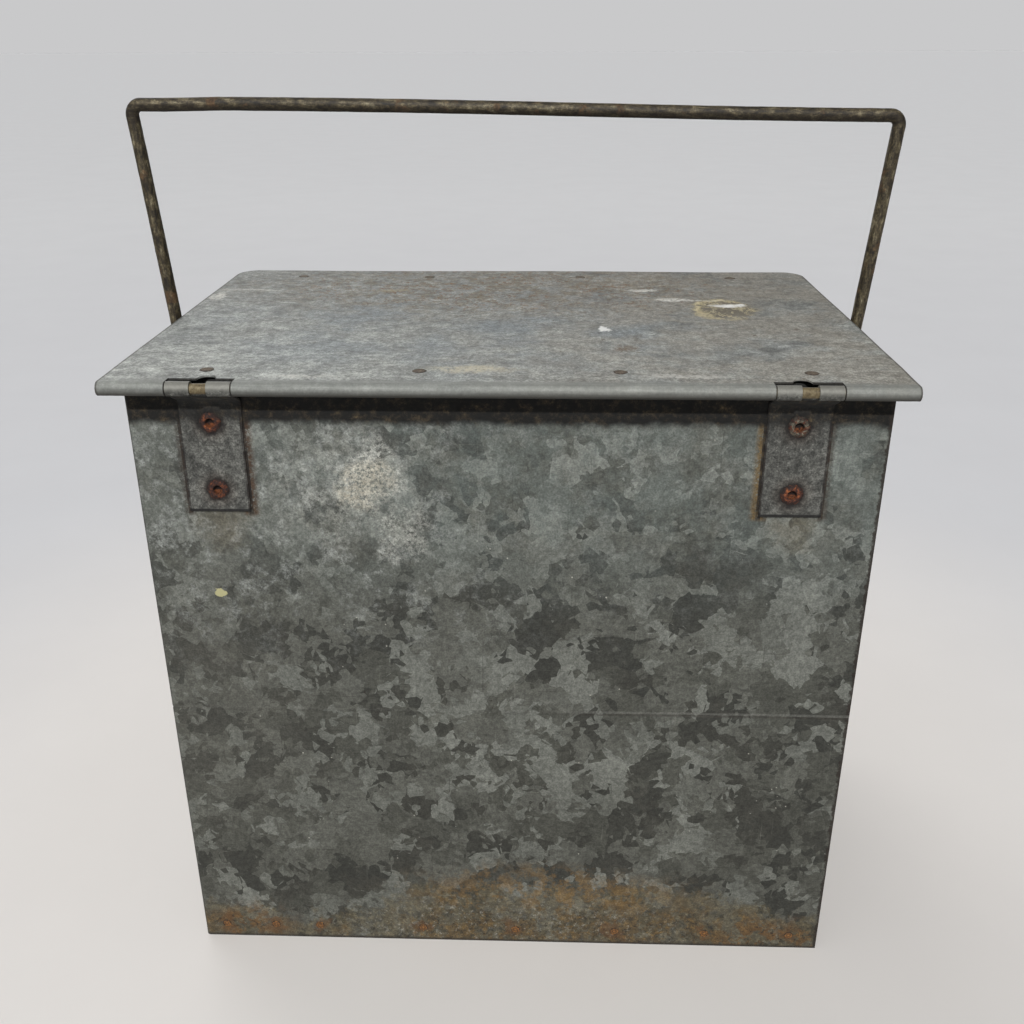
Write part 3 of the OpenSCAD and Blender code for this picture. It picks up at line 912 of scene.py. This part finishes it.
def sheet_finish(p, tone):
    """Wear that all the galvanised sheet has: cloudiness, fine scratches, white specks and pits"""
    p.rough = p.between(tone, 0.0, 1.0, 0.5, 0.6)
    p.metal = 0.4
    p.shade(p.patchy(26, 0.3, 0.7, 4.0, 0.6, 4.0), 0.88, 1.12)
    bright = p.most(p.patchy((0.7, 0.7, 30), 0.70, 0.78, 2.0, 0.5),
                    p.patchy((26, 26, 0.6), 0.68, 0.76, 2.0, 0.5))
    p.coat((bright, 0.3), (136, 136, 128), 0.4)
    dark = p.most(p.patchy((34, 34, 0.8), 0.64, 0.72, 2.0, 0.5, 33.0),
                  p.patchy((0.8, 0.8, 38), 0.67, 0.75, 2.0, 0.5, 35.0))
    p.coat((dark, 0.5), (48, 46, 40), 0.6)
    speck = p.between(p.cells(5, out="Distance"), 0.05, 0.10, 1.0, 0.0)
    p.coat((speck, p.patchy(11, 0.6, 0.66, 1.0, 0.5), 0.8), (186, 184, 172), 0.8, 0.0, 0.05 * MM)
    pit = p.between(p.cells(7, p.torn(2, 6, 2.0, 0.5), "Distance"), 0.05, 0.09, 1.0, 0.0)
    p.coat((pit, p.patchy(16, 0.55, 0.62, 1.0, 0.5, 34.0), 0.7), (46, 38, 30), 0.8, 0.0)


def rust_on(p, mask, colour, strength):
    """Thin rust where mask is 1, broken up by noise"""
    broken = p.between(p.noise(6, 6.0, 0.72, seed=8.0), 0.3, 0.66, 0.2, 1.3)
    cover = p.between(p.mul(mask, broken), 0.3, 0.8)
    middle = linear(colour)
    light = (*(min(1, 1.4 * c) for c in middle[:3]), 1)
    dark = (*(0.45 * c for c in middle[:3]), 1)
    mottled = p.ramp(p.noise(2.2, 5.0, 0.75, seed=2.0), [(0.3, dark), (0.5, middle), (0.7, light)])
    p.coat((cover, strength), mottled, 0.85, 0.0, 0.04 * MM)


# ---------------------------------------------------------------- the shell's material

SHELL_TONES = [(0.0, (60, 61, 56)), (0.22, (68, 68, 62)), (0.26, (79, 80, 73)),
               (0.44, (84, 85, 78)), (0.48, (92, 93, 86)), (0.72, (98, 99, 92)),
               (0.77, (108, 110, 103)), (1.0, (120, 122, 115))]
# colours of the dirt and painted shade under the lid
GRIME_AND_SHADE = [(0.36, (3, 3, 2)), (0.5, (14, 12, 8)), (0.62, (50, 42, 29)), (0.74, (94, 79, 54))]
STRAP_RUST = {"left": (100, 80, 46), "right": (64, 42, 23)}


def shell_haze(p, ragged):
    """Cloudy film over the walls' upper part and towards +X, with milky bloom and white chalk"""
    upper = p.between(p.z, 190 * MM, 262 * MM)
    patches = p.patchy(24, 0.36, 0.6, 5.0, 0.7, 6.0, 0.15)
    p.coat((upper, patches, 0.5), (101, 109, 105), 0.6, 0.3)
    p.shade(upper, 1.0, 1.16)
    near_x = p.between(p.x, 70 * MM, 140 * MM)
    above_foot = p.between(p.z, 60 * MM, 130 * MM)
    p.coat((near_x, patches, above_foot, 0.4), (94, 93, 85), 0.6, 0.3)
    bloom, broken = p.patchy(10, 0.47, 0.62, 5.0, 0.7, 16.0), p.patchy(1.8, 0.36, 0.62, 4.0, 0.75, 17.0)
    side = p.between(p.x, -20 * MM, 60 * MM, 0.3, 1.0)
    p.coat((bloom, broken, p.between(p.z, 150 * MM, 240 * MM), side, 0.8), (148, 151, 146), 0.8, 0.1)
    stipple = p.patchy(1.3, 0.36, 0.62, 4.0, 0.8)
    blotchy = p.patchy(7, 0.4, 0.56, 4.0, 0.7, 20.0, 0.3)
    white = p.most(p.spot(on_back(61, 271), (15, 30, 15), 0.5, ragged),
                   p.mul(p.spot(on_back(46, 243), (10, 30, 13), 0.6, ragged), 0.7),
                   p.mul(p.spot(on_back(76, 265), (30, 30, 24), 0.7, ragged), 0.4))
    p.coat((white, stipple, blotchy, 0.95), (188, 188, 179), 0.85, 0.0, 0.04 * MM)
    cream = p.spot(on_back(63, 267), (10, 30, 9), 0.6, ragged)
    p.coat((cream, stipple, 0.55), (192, 182, 160), 0.85, 0.0)


def shell_rust(p, ragged):
    """Rust along the foot, highest at the middle of the back, with the flakes showing through"""
    low = p.between(p.z, 0.0, 62 * MM, 0.2, -0.38)
    middle = p.spot(on_back(-30, 34), (96, 60, 32), 0.6, ragged)
    corners = p.most(p.spot(on_back(-142, 7), (30, 30, 9), 0.7, ragged),
                     p.spot(on_back(138, 10), (18, 30, 11), 0.7, ragged))
    bare = p.spot(on_back(100, 12), (34, 30, 40), 0.5, ragged)
    field = p.add(p.noise(18, 6.0, 0.72, seed=8.0), low, p.mul(middle, 0.2), p.mul(corners, 0.12))
    field = p.math("SUBTRACT", field, p.mul(bare, 0.12))
    ochre = p.ramp(p.noise(5, 6.0, 0.78, seed=9.0),
                   [(0.38, (45, 41, 33)), (0.5, (86, 78, 56)), (0.62, (120, 109, 83))])
    p.coat((p.between(field, 0.48, 0.58), 0.6), ochre, 0.8, 0.1)
    brown = p.ramp(p.noise(3, 6.0, 0.8, seed=10.0),
                   [(0.38, (38, 31, 23)), (0.5, (84, 67, 40)), (0.62, (120, 95, 53))])
    broken = p.patchy(10, 0.46, 0.54, 6.0, 0.78, 11.0)
    p.coat((p.between(field, 0.58, 0.78), broken, 0.75), brown, 0.85, 0.0, 0.05 * MM)
    p.coat((corners, broken, 0.65), (98, 70, 38), 0.85, 0.0, 0.05 * MM)
    gold = p.spot(on_back(-20, 36), (62, 60, 13), 0.7, ragged)
    p.coat((gold, broken, 0.5), (122, 92, 44), 0.85, 0.0)
    crust = p.spot(on_back(2, 12), (90, 30, 20), 0.6, ragged)
    p.coat((p.patchy(2.4, 0.55, 0.64, 5.0, 0.75, 15.0), crust, 0.6), (150, 148, 138), 0.85, 0.0,
           0.06 * MM)
    foot = p.between(p.z, 10 * MM, 38 * MM, 1.0, 0.0)
    p.coat((p.patchy(1.7, 0.54, 0.63, 4.0, 0.7, 19.0), foot, 0.8), (36, 30, 23), 0.85, 0.0)
    for x in SHELL_WELDS_BACK:
        ring = p.spot((x * MM, HALF_D, SHELL_WELD_Z), (4.6, 9, 4.6), 0.35, ragged)
        p.coat((ring, 0.5), (92, 62, 32), 0.85, 0.0)


def strap_line(p):
    """Unevenness of the dark lines along the straps' edges, on the strap and on the wall"""
    return p.patchy(4, 0.36, 0.56, 4.0, 0.7, 25.0, 0.6)


def strap_stains(p, back, ragged):
    """Rust and dirt where the straps lie on the back, and below them"""
    tall = p.band(p.z, plate_low_z - 1 * MM, RIM_Z - 14 * MM, 2.5 * MM)
    crumbly = p.patchy(1.4, 0.34, 0.54, 4.0, 0.75, 23.0)
    uneven = strap_line(p)
    for name, side in SIDES.items():
        inner = rivet_x[name] - side * plate_half
        outer = rivet_x[name] + side * plate_half
        wide = p.strip(p.x, inner, 1.8 * MM, 3.2 * MM)
        p.coat((wide, tall, back, crumbly, 0.9), STRAP_RUST[name], 0.85, 0.0, 0.08 * MM)
        for edge in (inner, outer):
            line = p.strip(p.x, edge, 0.8 * MM, 0.5 * MM)
            p.coat((line, tall, back, uneven, 0.95), (22, 16, 11), 0.85, 0.0)
        halo = p.strip(p.x, outer, 1.6 * MM, 2 * MM)
        p.coat((halo, tall, back, crumbly, 0.6), (52, 40, 30), 0.85, 0.0)
        below = p.spot((rivet_x[name], HALF_D, plate_low_z - 7 * MM),
                       (0.8 * plate_half / MM, 30, 9), 0.7, ragged)
        p.coat((below, back, 0.4), (96, 84, 62), 0.8, 0.1)


def shell_grime(p, back):
    """Dirt and painted shade under the lid, painted shade where the notches show the rim, dirt at the
    seam, painted shade and a painted highlight at the crease, dirt along the foot and at the +X corner
    """
    # dirt and painted shade in a band under the lid, strongest on the back
    edge_z = p.wandering(p.z, 14, 1.2, 0.6, 24.0)
    under_lid_dirt_and_shade = p.between(edge_z, 293.2 * MM, 297.7 * MM)
    share = p.between(p.y, HALF_D - 6 * MM, HALF_D - 2 * MM, 0.35, 0.99)
    p.coat((under_lid_dirt_and_shade, share), p.ramp(p.noise(5, 6.0, 0.8), GRIME_AND_SHADE), 0.9, 0.0)
    rim_top = p.between(p.z, RIM_Z - 2.4 * MM, RIM_Z - 1.6 * MM)
    p.coat((rim_top, 0.9), (150, 152, 148), 0.5, 0.4)
    for name in SIDES:
        # painted shade on the rim where each notch and its relief let it show
        notch_shade = p.spot((plate_x[name], HALF_D, RIM_Z), (16, 14, 6), 0.3)
        p.coat((notch_shade, 0.95), (16, 14, 11), 0.9, 0.0)
    seam = p.between(p.wandering(p.x, 3, 0.9, 0.7, 28.0), -HALF_W + 0.9 * MM, -HALF_W + 2.0 * MM,
                     1.0, 0.0)
    p.coat((seam, p.between(p.y, HALF_D - 3 * MM, HALF_D - 2 * MM), 0.9), (34, 25, 18), 0.8, 0.0)
    # the crease has painted shade in its upper half and a painted highlight above it, mostly at -X
    fold = p.band(p.z, CREASE_Z - 0.7 * MM, CREASE_Z - 0.1 * MM, 0.5 * MM)
    p.coat((fold, back, p.between(p.x, -20 * MM, -50 * MM, 0.25, 1.0), 0.5), (54, 50, 44), 0.7)
    lit = p.band(p.z, CREASE_Z + 0.6 * MM, CREASE_Z + 1.4 * MM, 0.6 * MM)
    p.coat((lit, back, p.between(p.x, -20 * MM, -50 * MM, 0.2, 1.0), 0.4), (126, 126, 120), 0.6)
    edge = p.between(p.z, 0.6 * MM, 2.2 * MM, 1.0, 0.0)
    p.coat((edge, 0.85), (38, 34, 28), 0.7, 0.1)
    corner = p.between(p.x, HALF_W - 1.6 * MM, HALF_W - 0.4 * MM)
    p.coat((corner, back, 0.6), (48, 44, 38), 0.7, 0.2)


def shell_material():
    p = Paint("galvanised_shell")
    tone, normal = flakes(p, 15, 0.1, SHELL_TONES)
    sheet_finish(p, tone)
    back = p.between(p.y, HALF_D - 6 * MM, HALF_D - 2 * MM)
    ragged = p.torn(16, 16, 4.0, 0.65, 12.0)
    p.shade(p.between(p.z, 20 * MM, 170 * MM), 0.86, 0.93)
    shell_haze(p, ragged)
    shell_rust(p, ragged)
    strap_stains(p, back, ragged)
    shell_grime(p, back)
    grain(p, 0.2)
    chip = p.spot(on_back(133.5, 212), (3.0, 4, 2.2), 0.12, p.torn(2.4, 3, 2.0, 0.5))
    p.coat((chip, 0.9), (178, 173, 128), 0.6, 0.0, 0.15 * MM)
    return p.done(normal=normal)


# ---------------------------------------------------------------- the lid's material

def lid_wear(p):
    """Painted shade towards -X, cool and worn brownish areas, tan freckles, brown dots and light scuffs
    """
    # painted shade: the lid grows darker towards -X, where the worn brownish film also lies
    side = p.between(p.x, 90 * MM, -110 * MM)
    p.shade(side, 1.02, 0.9)
    cool = p.spot((20 * MM, 20 * MM, LID_TOP), (120, 80, 60), 0.6)
    p.coat((p.patchy(46, 0.42, 0.6, 5.0, 0.65, 47.0), cool, 0.6), (122, 130, 134))
    p.coat((p.patchy(40, 0.38, 0.56, 6.0, 0.7, 3.0), side, 0.45), (148, 140, 126), 0.6)
    far = p.spot((10 * MM, -70 * MM, LID_TOP), (120, 62, 60), 0.7)
    p.coat((far, p.patchy(8, 0.46, 0.58, 6.0, 0.78, 7.0), 0.7), (108, 97, 76), 0.7, 0.2)
    freckle = p.mul(p.patchy(2.8, 0.55, 0.62), p.patchy(22, 0.4, 0.55, 3.0, 0.6, 48.0, 0.3))
    p.coat((far, freckle, 0.95), (112, 78, 40), 0.8, 0.0)
    p.coat((p.patchy(3.6, 0.66, 0.7, 3.0, 0.6, 9.0), 0.6), (84, 66, 46), 0.8, 0.1)
    scuffs = p.patchy(7, 0.6, 0.7, 5.0, 0.7, 42.0)
    p.coat((scuffs, p.patchy(1.4, 0.4, 0.6, 3.0, 0.7, 43.0), 0.55), (178, 180, 176), 0.8, 0.1)


# place and radii in mm, colour, share and softness of each
WHITE = (206, 204, 196)
SMEARS = [((-70, -64), (9, 3.2), WHITE, 0.9, 0.4), ((-84, -41), (9, 3.6), WHITE, 0.85, 0.4),
          ((-98, -39), (16, 1.8), WHITE, 0.7, 0.4), ((85, 108), (14, 1.6), WHITE, 0.7, 0.4),
          ((-75, 104), (18, 2.2), WHITE, 0.55, 0.4), ((150, -62), (16, 2.4), WHITE, 0.5, 0.4)]
MARKS = [((-53, 62), (5, 6), (92, 70, 44), 0.8, 0.6), ((-60, 45), (2.2, 12), (84, 77, 66), 0.5, 0.5),
         ((14, 95), (17, 5), (198, 190, 166), 0.75, 0.6), ((165, -44), (4, 9), WHITE, 0.85, 0.4),
         ((70, -62), (9, 4), (168, 158, 128), 0.5, 0.5)]


def lid_residues(p):
    """Dried glue, white smears, a brown spot and worn places on the lid's top"""
    torn = p.torn(9, 8, 5.0, 0.7, 21.0)
    crumbly = p.patchy(2.0, 0.36, 0.56, 4.0, 0.7, 22.0)

    def patch(place, radii, colour, share, soft, height=0.03, broken=True):
        centre = (place[0] * MM, place[1] * MM, LID_TOP)
        mask = p.spot(centre, (*radii, 30), soft, torn)
        if broken:
            mask = p.mul(mask, crumbly)
        p.coat((mask, share), colour, 0.75, 0.0, height * MM)

    def glue_spot(x, y, rx, ry, soft):
        return p.spot((x * MM, y * MM, LID_TOP), (rx, ry, 30), soft, torn)

    # glue that dried in ridges round a bare middle
    patch((-110, -19), (17, 22), (98, 90, 72), 0.8, 0.25, 0.0, False)
    ridges = p.noise(9, 3.0, 0.6, at=torn, seed=44.0)
    p.coat((p.band(ridges, 0.47, 0.5, 0.02), glue_spot(-110, -19, 17, 23, 0.2), 0.85),
           (190, 178, 142), 0.45, 0.0, 0.5 * MM)
    rim = p.math("SUBTRACT", glue_spot(-110, -19, 15.5, 23, 0.1),
                 glue_spot(-112, -17, 13.5, 20, 0.1), clamp=True)
    p.coat((rim, p.patchy(5, 0.4, 0.54, 4.0, 0.7, 45.0), 0.95), (196, 182, 140), 0.45, 0.0, 0.5 * MM)
    patch((-113, -27), (9, 4.5), (228, 226, 220), 0.95, 0.25, 0.3, False)
    patch((-98, -8), (3.5, 8), (190, 178, 144), 0.8, 0.4, 0.3)
    for smear in SMEARS:
        patch(*smear)
    patch((-45, 25), (2.4, 5), (222, 222, 218), 0.95, 0.3, 0.1, False)
    for mark in MARKS:
        patch(*mark)


def lid_edges(p):
    """The roll rubbed smooth, in streaks that run along it, painted shade on its lower half, and grime
    on cut edges
    """
    streak = p.noise((36, 1.1, 1.1), 4.0, 0.6, seed=46.0)
    rolled = p.between(p.y, HINGE_Y - 5 * MM, HINGE_Y - 1 * MM)
    rubbed = p.ramp(streak, [(0.32, (118, 120, 115)), (0.68, (146, 148, 142))])
    p.coat((rolled, 0.75), rubbed, 0.65, 0.3)
    # painted shade, darkest on the roll's lower half
    roll_shade_band = p.between(p.y, HINGE_Y - 4 * MM, HINGE_Y - 2 * MM)
    lower = p.between(p.z, HINGE_Z - 2.8 * MM, HINGE_Z + 2.2 * MM, 1.0, 0.0)
    p.coat((roll_shade_band, lower, 0.9), (40, 36, 30), 0.7, 0.1)
    for name in SIDES:
        near = p.strip(p.x, plate_x[name], NOTCH_HALF, 0.5 * MM)
        lip = p.between(p.y, NOTCH_EDGE_Y - 0.8 * MM, NOTCH_EDGE_Y - 0.3 * MM)
        p.coat((near, lip, 0.9), (26, 22, 18), 0.8, 0.0)
    for side in SIDES.values():
        rim = p.between(p.mul(p.x, side), LID_HALF - 1.1 * MM, LID_HALF - 0.4 * MM)
        p.coat((rim, 0.7), (50, 45, 38), 0.7, 0.1)


def lid_material():
    p = Paint("galvanised_lid")
    brushed = p.noise((16, 7, 7), 5.0, 0.65)
    p.colour = p.ramp(brushed, [(0.3, (116, 118, 114)), (0.46, (134, 136, 132)),
                                (0.56, (144, 146, 141)), (0.72, (160, 162, 157))])
    sheet_finish(p, brushed)
    p.rough = p.between(brushed, 0.0, 1.0, 0.62, 0.7)
    p.metal = 0.25
    p.shade(p.patchy(8, 0.36, 0.64, 6.0, 0.75, 41.0), 0.72, 1.28)
    # painted light: the lid is lighter towards the hinge and darker towards its front
    p.shade(p.between(p.y, -100 * MM, HINGE_Y), 0.8, 1.2)
    lid_wear(p)
    grain(p, 0.26)
    lid_residues(p)
    lid_edges(p)
    return p.done()


# ---------------------------------------------------------------- the other materials

def plain_galvanised(name, low, high):
    p = Paint(name)
    tone, normal = flakes(p, 13, 0.06, [(0, low), (1, high)], 2.0)
    sheet_finish(p, tone)
    return p, normal


def strap_material():
    p, normal = plain_galvanised("galvanised_strap", (78, 78, 74), (98, 98, 93))
    p.shade(p.patchy(5, 0.34, 0.66, 5.0, 0.7, 54.0), 0.7, 1.32)
    p.shade(p.between(p.x, -60 * MM, 60 * MM), 1.0, 1.1)
    p.coat((p.patchy(1.3, 0.58, 0.68, 3.0, 0.7, 51.0), 0.5), (146, 146, 138), 0.8, 0.1)
    flat = p.between(p.z, HINGE_Z - 9 * MM, HINGE_Z - 6 * MM, 1.0, 0.0)
    uneven = strap_line(p)
    torn = p.torn(2.6, 3, 4.0, 0.7, 26.0)
    for name in SIDES:
        for z in rivet_zs[name]:
            centre = (rivet_x[name], HALF_D, z)
            p.coat((p.spot(centre, (8, 20, 8), 0.4), 0.4), (62, 48, 36), 0.8, 0.1)
            p.coat((p.spot(centre, (6.1, 20, 6.1), 0.2, torn), 0.9), (20, 13, 9), 0.8, 0.0)
        for e in (-1, 1):
            rim = p.strip(p.x, rivet_x[name] + e * plate_half, 0.6 * MM, 0.4 * MM)
            p.coat((rim, flat, uneven, 0.95), (26, 18, 12), 0.8, 0.0)
    back = p.between(p.y, HALF_D - 3 * MM, HALF_D - 1 * MM)
    # painted shadow along the strap's lifted lower edge
    foot = p.between(p.z, plate_low_z + 0.9 * MM, plate_low_z + 1.5 * MM, 1.0, 0.0)
    p.coat((foot, back, 0.95), (12, 10, 8), 0.8, 0.0)
    # dirt and painted shade where the strap turns out under the lid, and dull light metal on its two
    # barrels
    edge_z = p.wandering(p.z, 14, 1.6, 0.6, 24.0)
    dark = p.mul(p.between(edge_z, HINGE_Z - 20.5 * MM, HINGE_Z - 15 * MM),
                 p.between(p.z, HINGE_Z - 4.2 * MM, HINGE_Z - 3.0 * MM, 1.0, 0.0))
    p.coat((dark, back, 0.9), p.ramp(p.noise(4, 6.0, 0.8), GRIME_AND_SHADE), 0.8, 0.1)
    grain(p, 0.36)
    top = p.between(p.z, HINGE_Z - 1.5 * MM, HINGE_Z + 1.5 * MM)
    p.coat((top, 0.75), (134, 133, 125), 0.6, 0.3)
    return p.done(normal=normal)


def rust_material():
    """Heavy rust of the rivets; the upper one on the -X strap has kept more of its zinc"""
    p = Paint("rust_heavy")
    p.colour = p.ramp(p.noise(1.7, 5.0, 0.75), [(0.36, (20, 11, 8)), (0.46, (54, 27, 17)),
                                                (0.56, (100, 50, 26)), (0.68, (170, 98, 48))])
    p.rough = 0.75
    grey = p.spot((rivet_x["left"], HALF_D, rivet_zs["left"][1]), (7, 9, 7), 0.1)
    chalky = p.ramp(p.noise(1.0, 4.0, 0.75, seed=55.0), [(0.4, (58, 52, 42)), (0.62, (128, 122, 106))])
    p.coat((grey, p.patchy(2.0, 0.45, 0.52, 4.0, 0.7, 52.0), 0.85), chalky, 0.7, 0.2)
    scab = p.patchy(2.2, 0.4, 0.6, 3.0, 0.6, 56.0)
    p.coat((p.between(p.x, 0.0, 10 * MM), scab, 0.7), (40, 20, 14), 0.8)
    # each bore has painted shade, and bright rust on its lower wall painted as if lit; the flare's
    # outer edge is dark
    crumbly = p.patchy(1.3, 0.36, 0.56, 3.0, 0.7, 53.0)
    torn = p.torn(2.6, 2.6, 4.0, 0.7, 27.0)
    for name in SIDES:
        for z in rivet_zs[name]:
            centre = (rivet_x[name], HALF_D, z)
            disc = p.spot(centre, (3.9, 20, 3.9), 0.2, torn)
            ring = p.math("SUBTRACT", p.spot(centre, (9, 20, 9), 0.1), disc, clamp=True)
            p.coat((ring, 0.75), (20, 12, 9), 0.8)
            bore = p.spot(centre, (2.1, 20, 2.1), 0.15)
            p.coat((bore, 0.9), (10, 7, 6), 0.9)
            p.coat((bore, p.between(p.z, z - 0.2 * MM, z - 0.9 * MM), crumbly, 0.8), (124, 68, 32), 0.8)
    p.height = p.mul(p.noise(0.8, 5.0, 0.7), 0.25 * MM)
    return p.done()


def weld_material(name, middle, ring, edge):
    """Rings of rust, by how far a point is from the weld's middle"""
    p = Paint(name)
    reach = p.node("ShaderNodeAttribute", attribute_name="reach").outputs["Fac"]
    uneven = p.add(reach, p.between(p.noise(1.4, 4.0, 0.7), 0.3, 0.7, -0.25, 0.25))
    p.colour = p.ramp(uneven, [(0.15, middle), (0.45, ring), (0.7, middle), (0.95, edge)])
    p.rough = 0.8
    grain(p, 0.25)
    return p.done()


def pin_material():
    p = Paint("wire_patina")
    p.colour = p.ramp(p.noise(1.6, 5.0, 0.7),
                      [(0.3, (66, 54, 36)), (0.5, (108, 95, 68)), (0.7, (138, 126, 98))])
    p.rough = 0.6
    p.metal = 0.2
    p.height = p.mul(p.noise(0.7, 4.0, 0.7), 0.08 * MM)
    return p.done()


def bail_material():
    p = Paint("bail_patina")
    on_bar = p.between(p.z, BAR_Z - 8 * MM, BAR_Z - 5 * MM)
    along_bar = p.noise((7, 2.4, 2.4), 6.0, 0.75)
    along_arm = p.noise((2.4, 2.4, 7), 6.0, 0.75)
    p.colour = p.ramp(p.blend(on_bar, along_arm, along_bar),
                      [(0.36, (26, 21, 13)), (0.47, (54, 46, 31)),
                       (0.56, (82, 73, 53)), (0.68, (132, 123, 99))])
    p.rough = 0.6
    p.metal = 0.25
    rust_on(p, p.patchy(11, 0.5, 0.64, 4.0, 0.5, 5.0), (86, 62, 38), 0.6)
    p.height = p.add(p.height, p.mul(p.noise(0.9, 4.0, 0.7), 0.08 * MM))
    # painted shade along the bar's underside, which follows its slope
    drop = p.math("SUBTRACT", p.z, p.add(p.mul(p.x, BAR_RISE / 2 / bail_high.x), BAR_Z))
    p.coat((on_bar, p.between(drop, 0.2 * MM, -1.6 * MM), 0.7), (34, 27, 18), 0.8)
    grain(p, 0.3)
    return p.done()


def liner_material():
    p, normal = plain_galvanised("galvanised_liner", (128, 130, 128), (166, 168, 164))
    rust_on(p, p.between(p.z, 20 * MM, 40 * MM, 0.7, 0.0), (104, 74, 42), 0.5)
    grain(p, 0.2)
    return p.done(bump=0.2, normal=normal)


def board_material():
    p = Paint("fibre_board")
    p.colour = p.ramp(p.noise(3, 6.0, 0.8), [(0.3, (150, 122, 82)), (0.7, (196, 172, 128))])
    p.rough = 0.95
    p.height = p.mul(p.noise(1.0, 5.0, 0.8), 0.3 * MM)
    return p.done()


def dress(material, pieces=(), nodes=()):
    """Gives the material to new pieces and to carried-over CAD nodes"""
    for name in pieces:
        data = bpy.data.objects[name].data
        data.materials.clear()
        data.materials.append(material)
    for name in nodes:
        for slot in frame["nodes"][name].material_slots:
            slot.material = material


def on_sides(*stems):
    return [f"{stem}_{side}" for stem in stems for side in SIDES]


dress(strap_material(), on_sides("hinge_strap", "bail_lug"))
dress(rust_material(), on_sides("hinge_rivet_pair", "ear_rivet_pair"), on_sides("bail_keeper"))
dress(bail_material(), ["bail_rod"])
dress(liner_material(), nodes=["liner", "lid_pan", "bottom_pan"])
dress(shell_material(), ["shell_sheet"])
dress(lid_material(), ["lid_sheet"])
dress(weld_material("rust_shell_welds", (124, 84, 42), (66, 46, 28), (40, 31, 22)),
      ["shell_spot_welds"])
dress(weld_material("rust_lid_welds", (98, 86, 72), (82, 72, 60), (52, 44, 36)),
      ["lid_spot_welds"])
dress(pin_material(), ["hinge_pin"])
dress(board_material(), nodes=[n for n in frame["nodes"] if "insulation" in n])


# ---------------------------------------------------------------- floor, light and camera

FLOOR_HALF = 60.0
BACKDROP = (201, 201, 202)
AMBIENT = (0.94, 0.95, 0.97, 1)
AMBIENT_STRENGTH = 0.14
LIGHT_AIM = (0, 0, 0.2)
# name, kind, place, strength, and size: metres for an area, degrees for the sun
LIGHTS = [("key", "SUN", (0.1, 1.85, 1.65), 2.7, 2.5),
          ("overhead", "AREA", (0.3, 0.3, 2.2), 9, 2.0),
          ("fill", "SUN", (1.5, -1.95, 1.5), 0.75, 45),
          ("front", "SUN", (0.6, -2.2, 0.5), 0.5, 50)]


def make_floor():
    bm = bmesh.new()
    bmesh.ops.create_grid(bm, x_segments=8, y_segments=8, size=FLOOR_HALF)
    floor = mesh_object("floor", bm)
    p = Paint("pale_floor")
    far = p.vector("LENGTH", p.place)
    p.colour = linear((228, 224, 220))
    # painted shadow: a darker ring on the floor round the chest, lighter again far out
    p.coat((p.between(far, 0.25, 0.7),), (212, 212, 214))
    p.coat((p.between(far, 0.9, 3.0),), (221, 221, 222))
    p.shade(p.noise(120, 4.0, 0.6), 0.97, 1.03)
    p.rough = 1.0
    floor.data.materials.append(p.done(gloss=0.0))


def add_light(name, kind, place, strength, size):
    data = bpy.data.lights.new(name, kind)
    if kind == "SUN":
        data.angle = math.radians(size)
    else:
        data.size = size
    data.energy = strength
    light = bpy.data.objects.new(name, data)
    bpy.context.scene.collection.objects.link(light)
    light.location = place
    light.rotation_mode = "QUATERNION"
    light.rotation_quaternion = (Vector(LIGHT_AIM) - Vector(place)).to_track_quat("-Z", "Y")


def make_world():
    """Soft light from all round, and a plain backdrop where the camera sees past the floor"""
    world = bpy.data.worlds.new("studio")
    bpy.context.scene.world = world
    world.use_nodes = True
    tree = world.node_tree
    light = tree.nodes["Background"]
    light.inputs["Color"].default_value = AMBIENT
    light.inputs["Strength"].default_value = AMBIENT_STRENGTH
    seen = tree.nodes.new("ShaderNodeBackground")
    seen.inputs["Color"].default_value = linear(BACKDROP)
    path = tree.nodes.new("ShaderNodeLightPath")
    pick = tree.nodes.new("ShaderNodeMixShader")
    tree.links.new(path.outputs["Is Camera Ray"], pick.inputs[0])
    tree.links.new(light.outputs[0], pick.inputs[1])
    tree.links.new(seen.outputs[0], pick.inputs[2])
    tree.links.new(pick.outputs[0], tree.nodes["World Output"].inputs[0])


# place in metres, angles in radians, lens and sensor in mm
CAMERA_PLACE = (-0.0173, 0.5389, 0.4462)
CAMERA_DOWN = 0.4153
CAMERA_YAW = 0.0335
CAMERA_ROLL = -0.0031
CAMERA_LENS = 37.42
CAMERA_SENSOR = 36


def make_camera():
    level = math.cos(CAMERA_DOWN)
    ahead = Vector((math.sin(CAMERA_YAW) * level, -math.cos(CAMERA_YAW) * level,
                    -math.sin(CAMERA_DOWN)))
    flat_right = Vector((-math.cos(CAMERA_YAW), -math.sin(CAMERA_YAW), 0))
    flat_up = flat_right.cross(ahead)
    right = flat_right * math.cos(CAMERA_ROLL) + flat_up * math.sin(CAMERA_ROLL)
    up = flat_up * math.cos(CAMERA_ROLL) - flat_right * math.sin(CAMERA_ROLL)
    data = bpy.data.cameras.new("camera")
    data.lens = CAMERA_LENS
    data.sensor_width = CAMERA_SENSOR
    camera = bpy.data.objects.new("camera", data)
    bpy.context.scene.collection.objects.link(camera)
    camera.matrix_world = Matrix.Translation(CAMERA_PLACE) @ Matrix(
        (right, up, -ahead)).transposed().to_4x4()
    bpy.context.scene.camera = camera


make_floor()
for row in LIGHTS:
    add_light(*row)
make_world()
make_camera()
bpy.context.scene.view_settings.view_transform = "Standard"
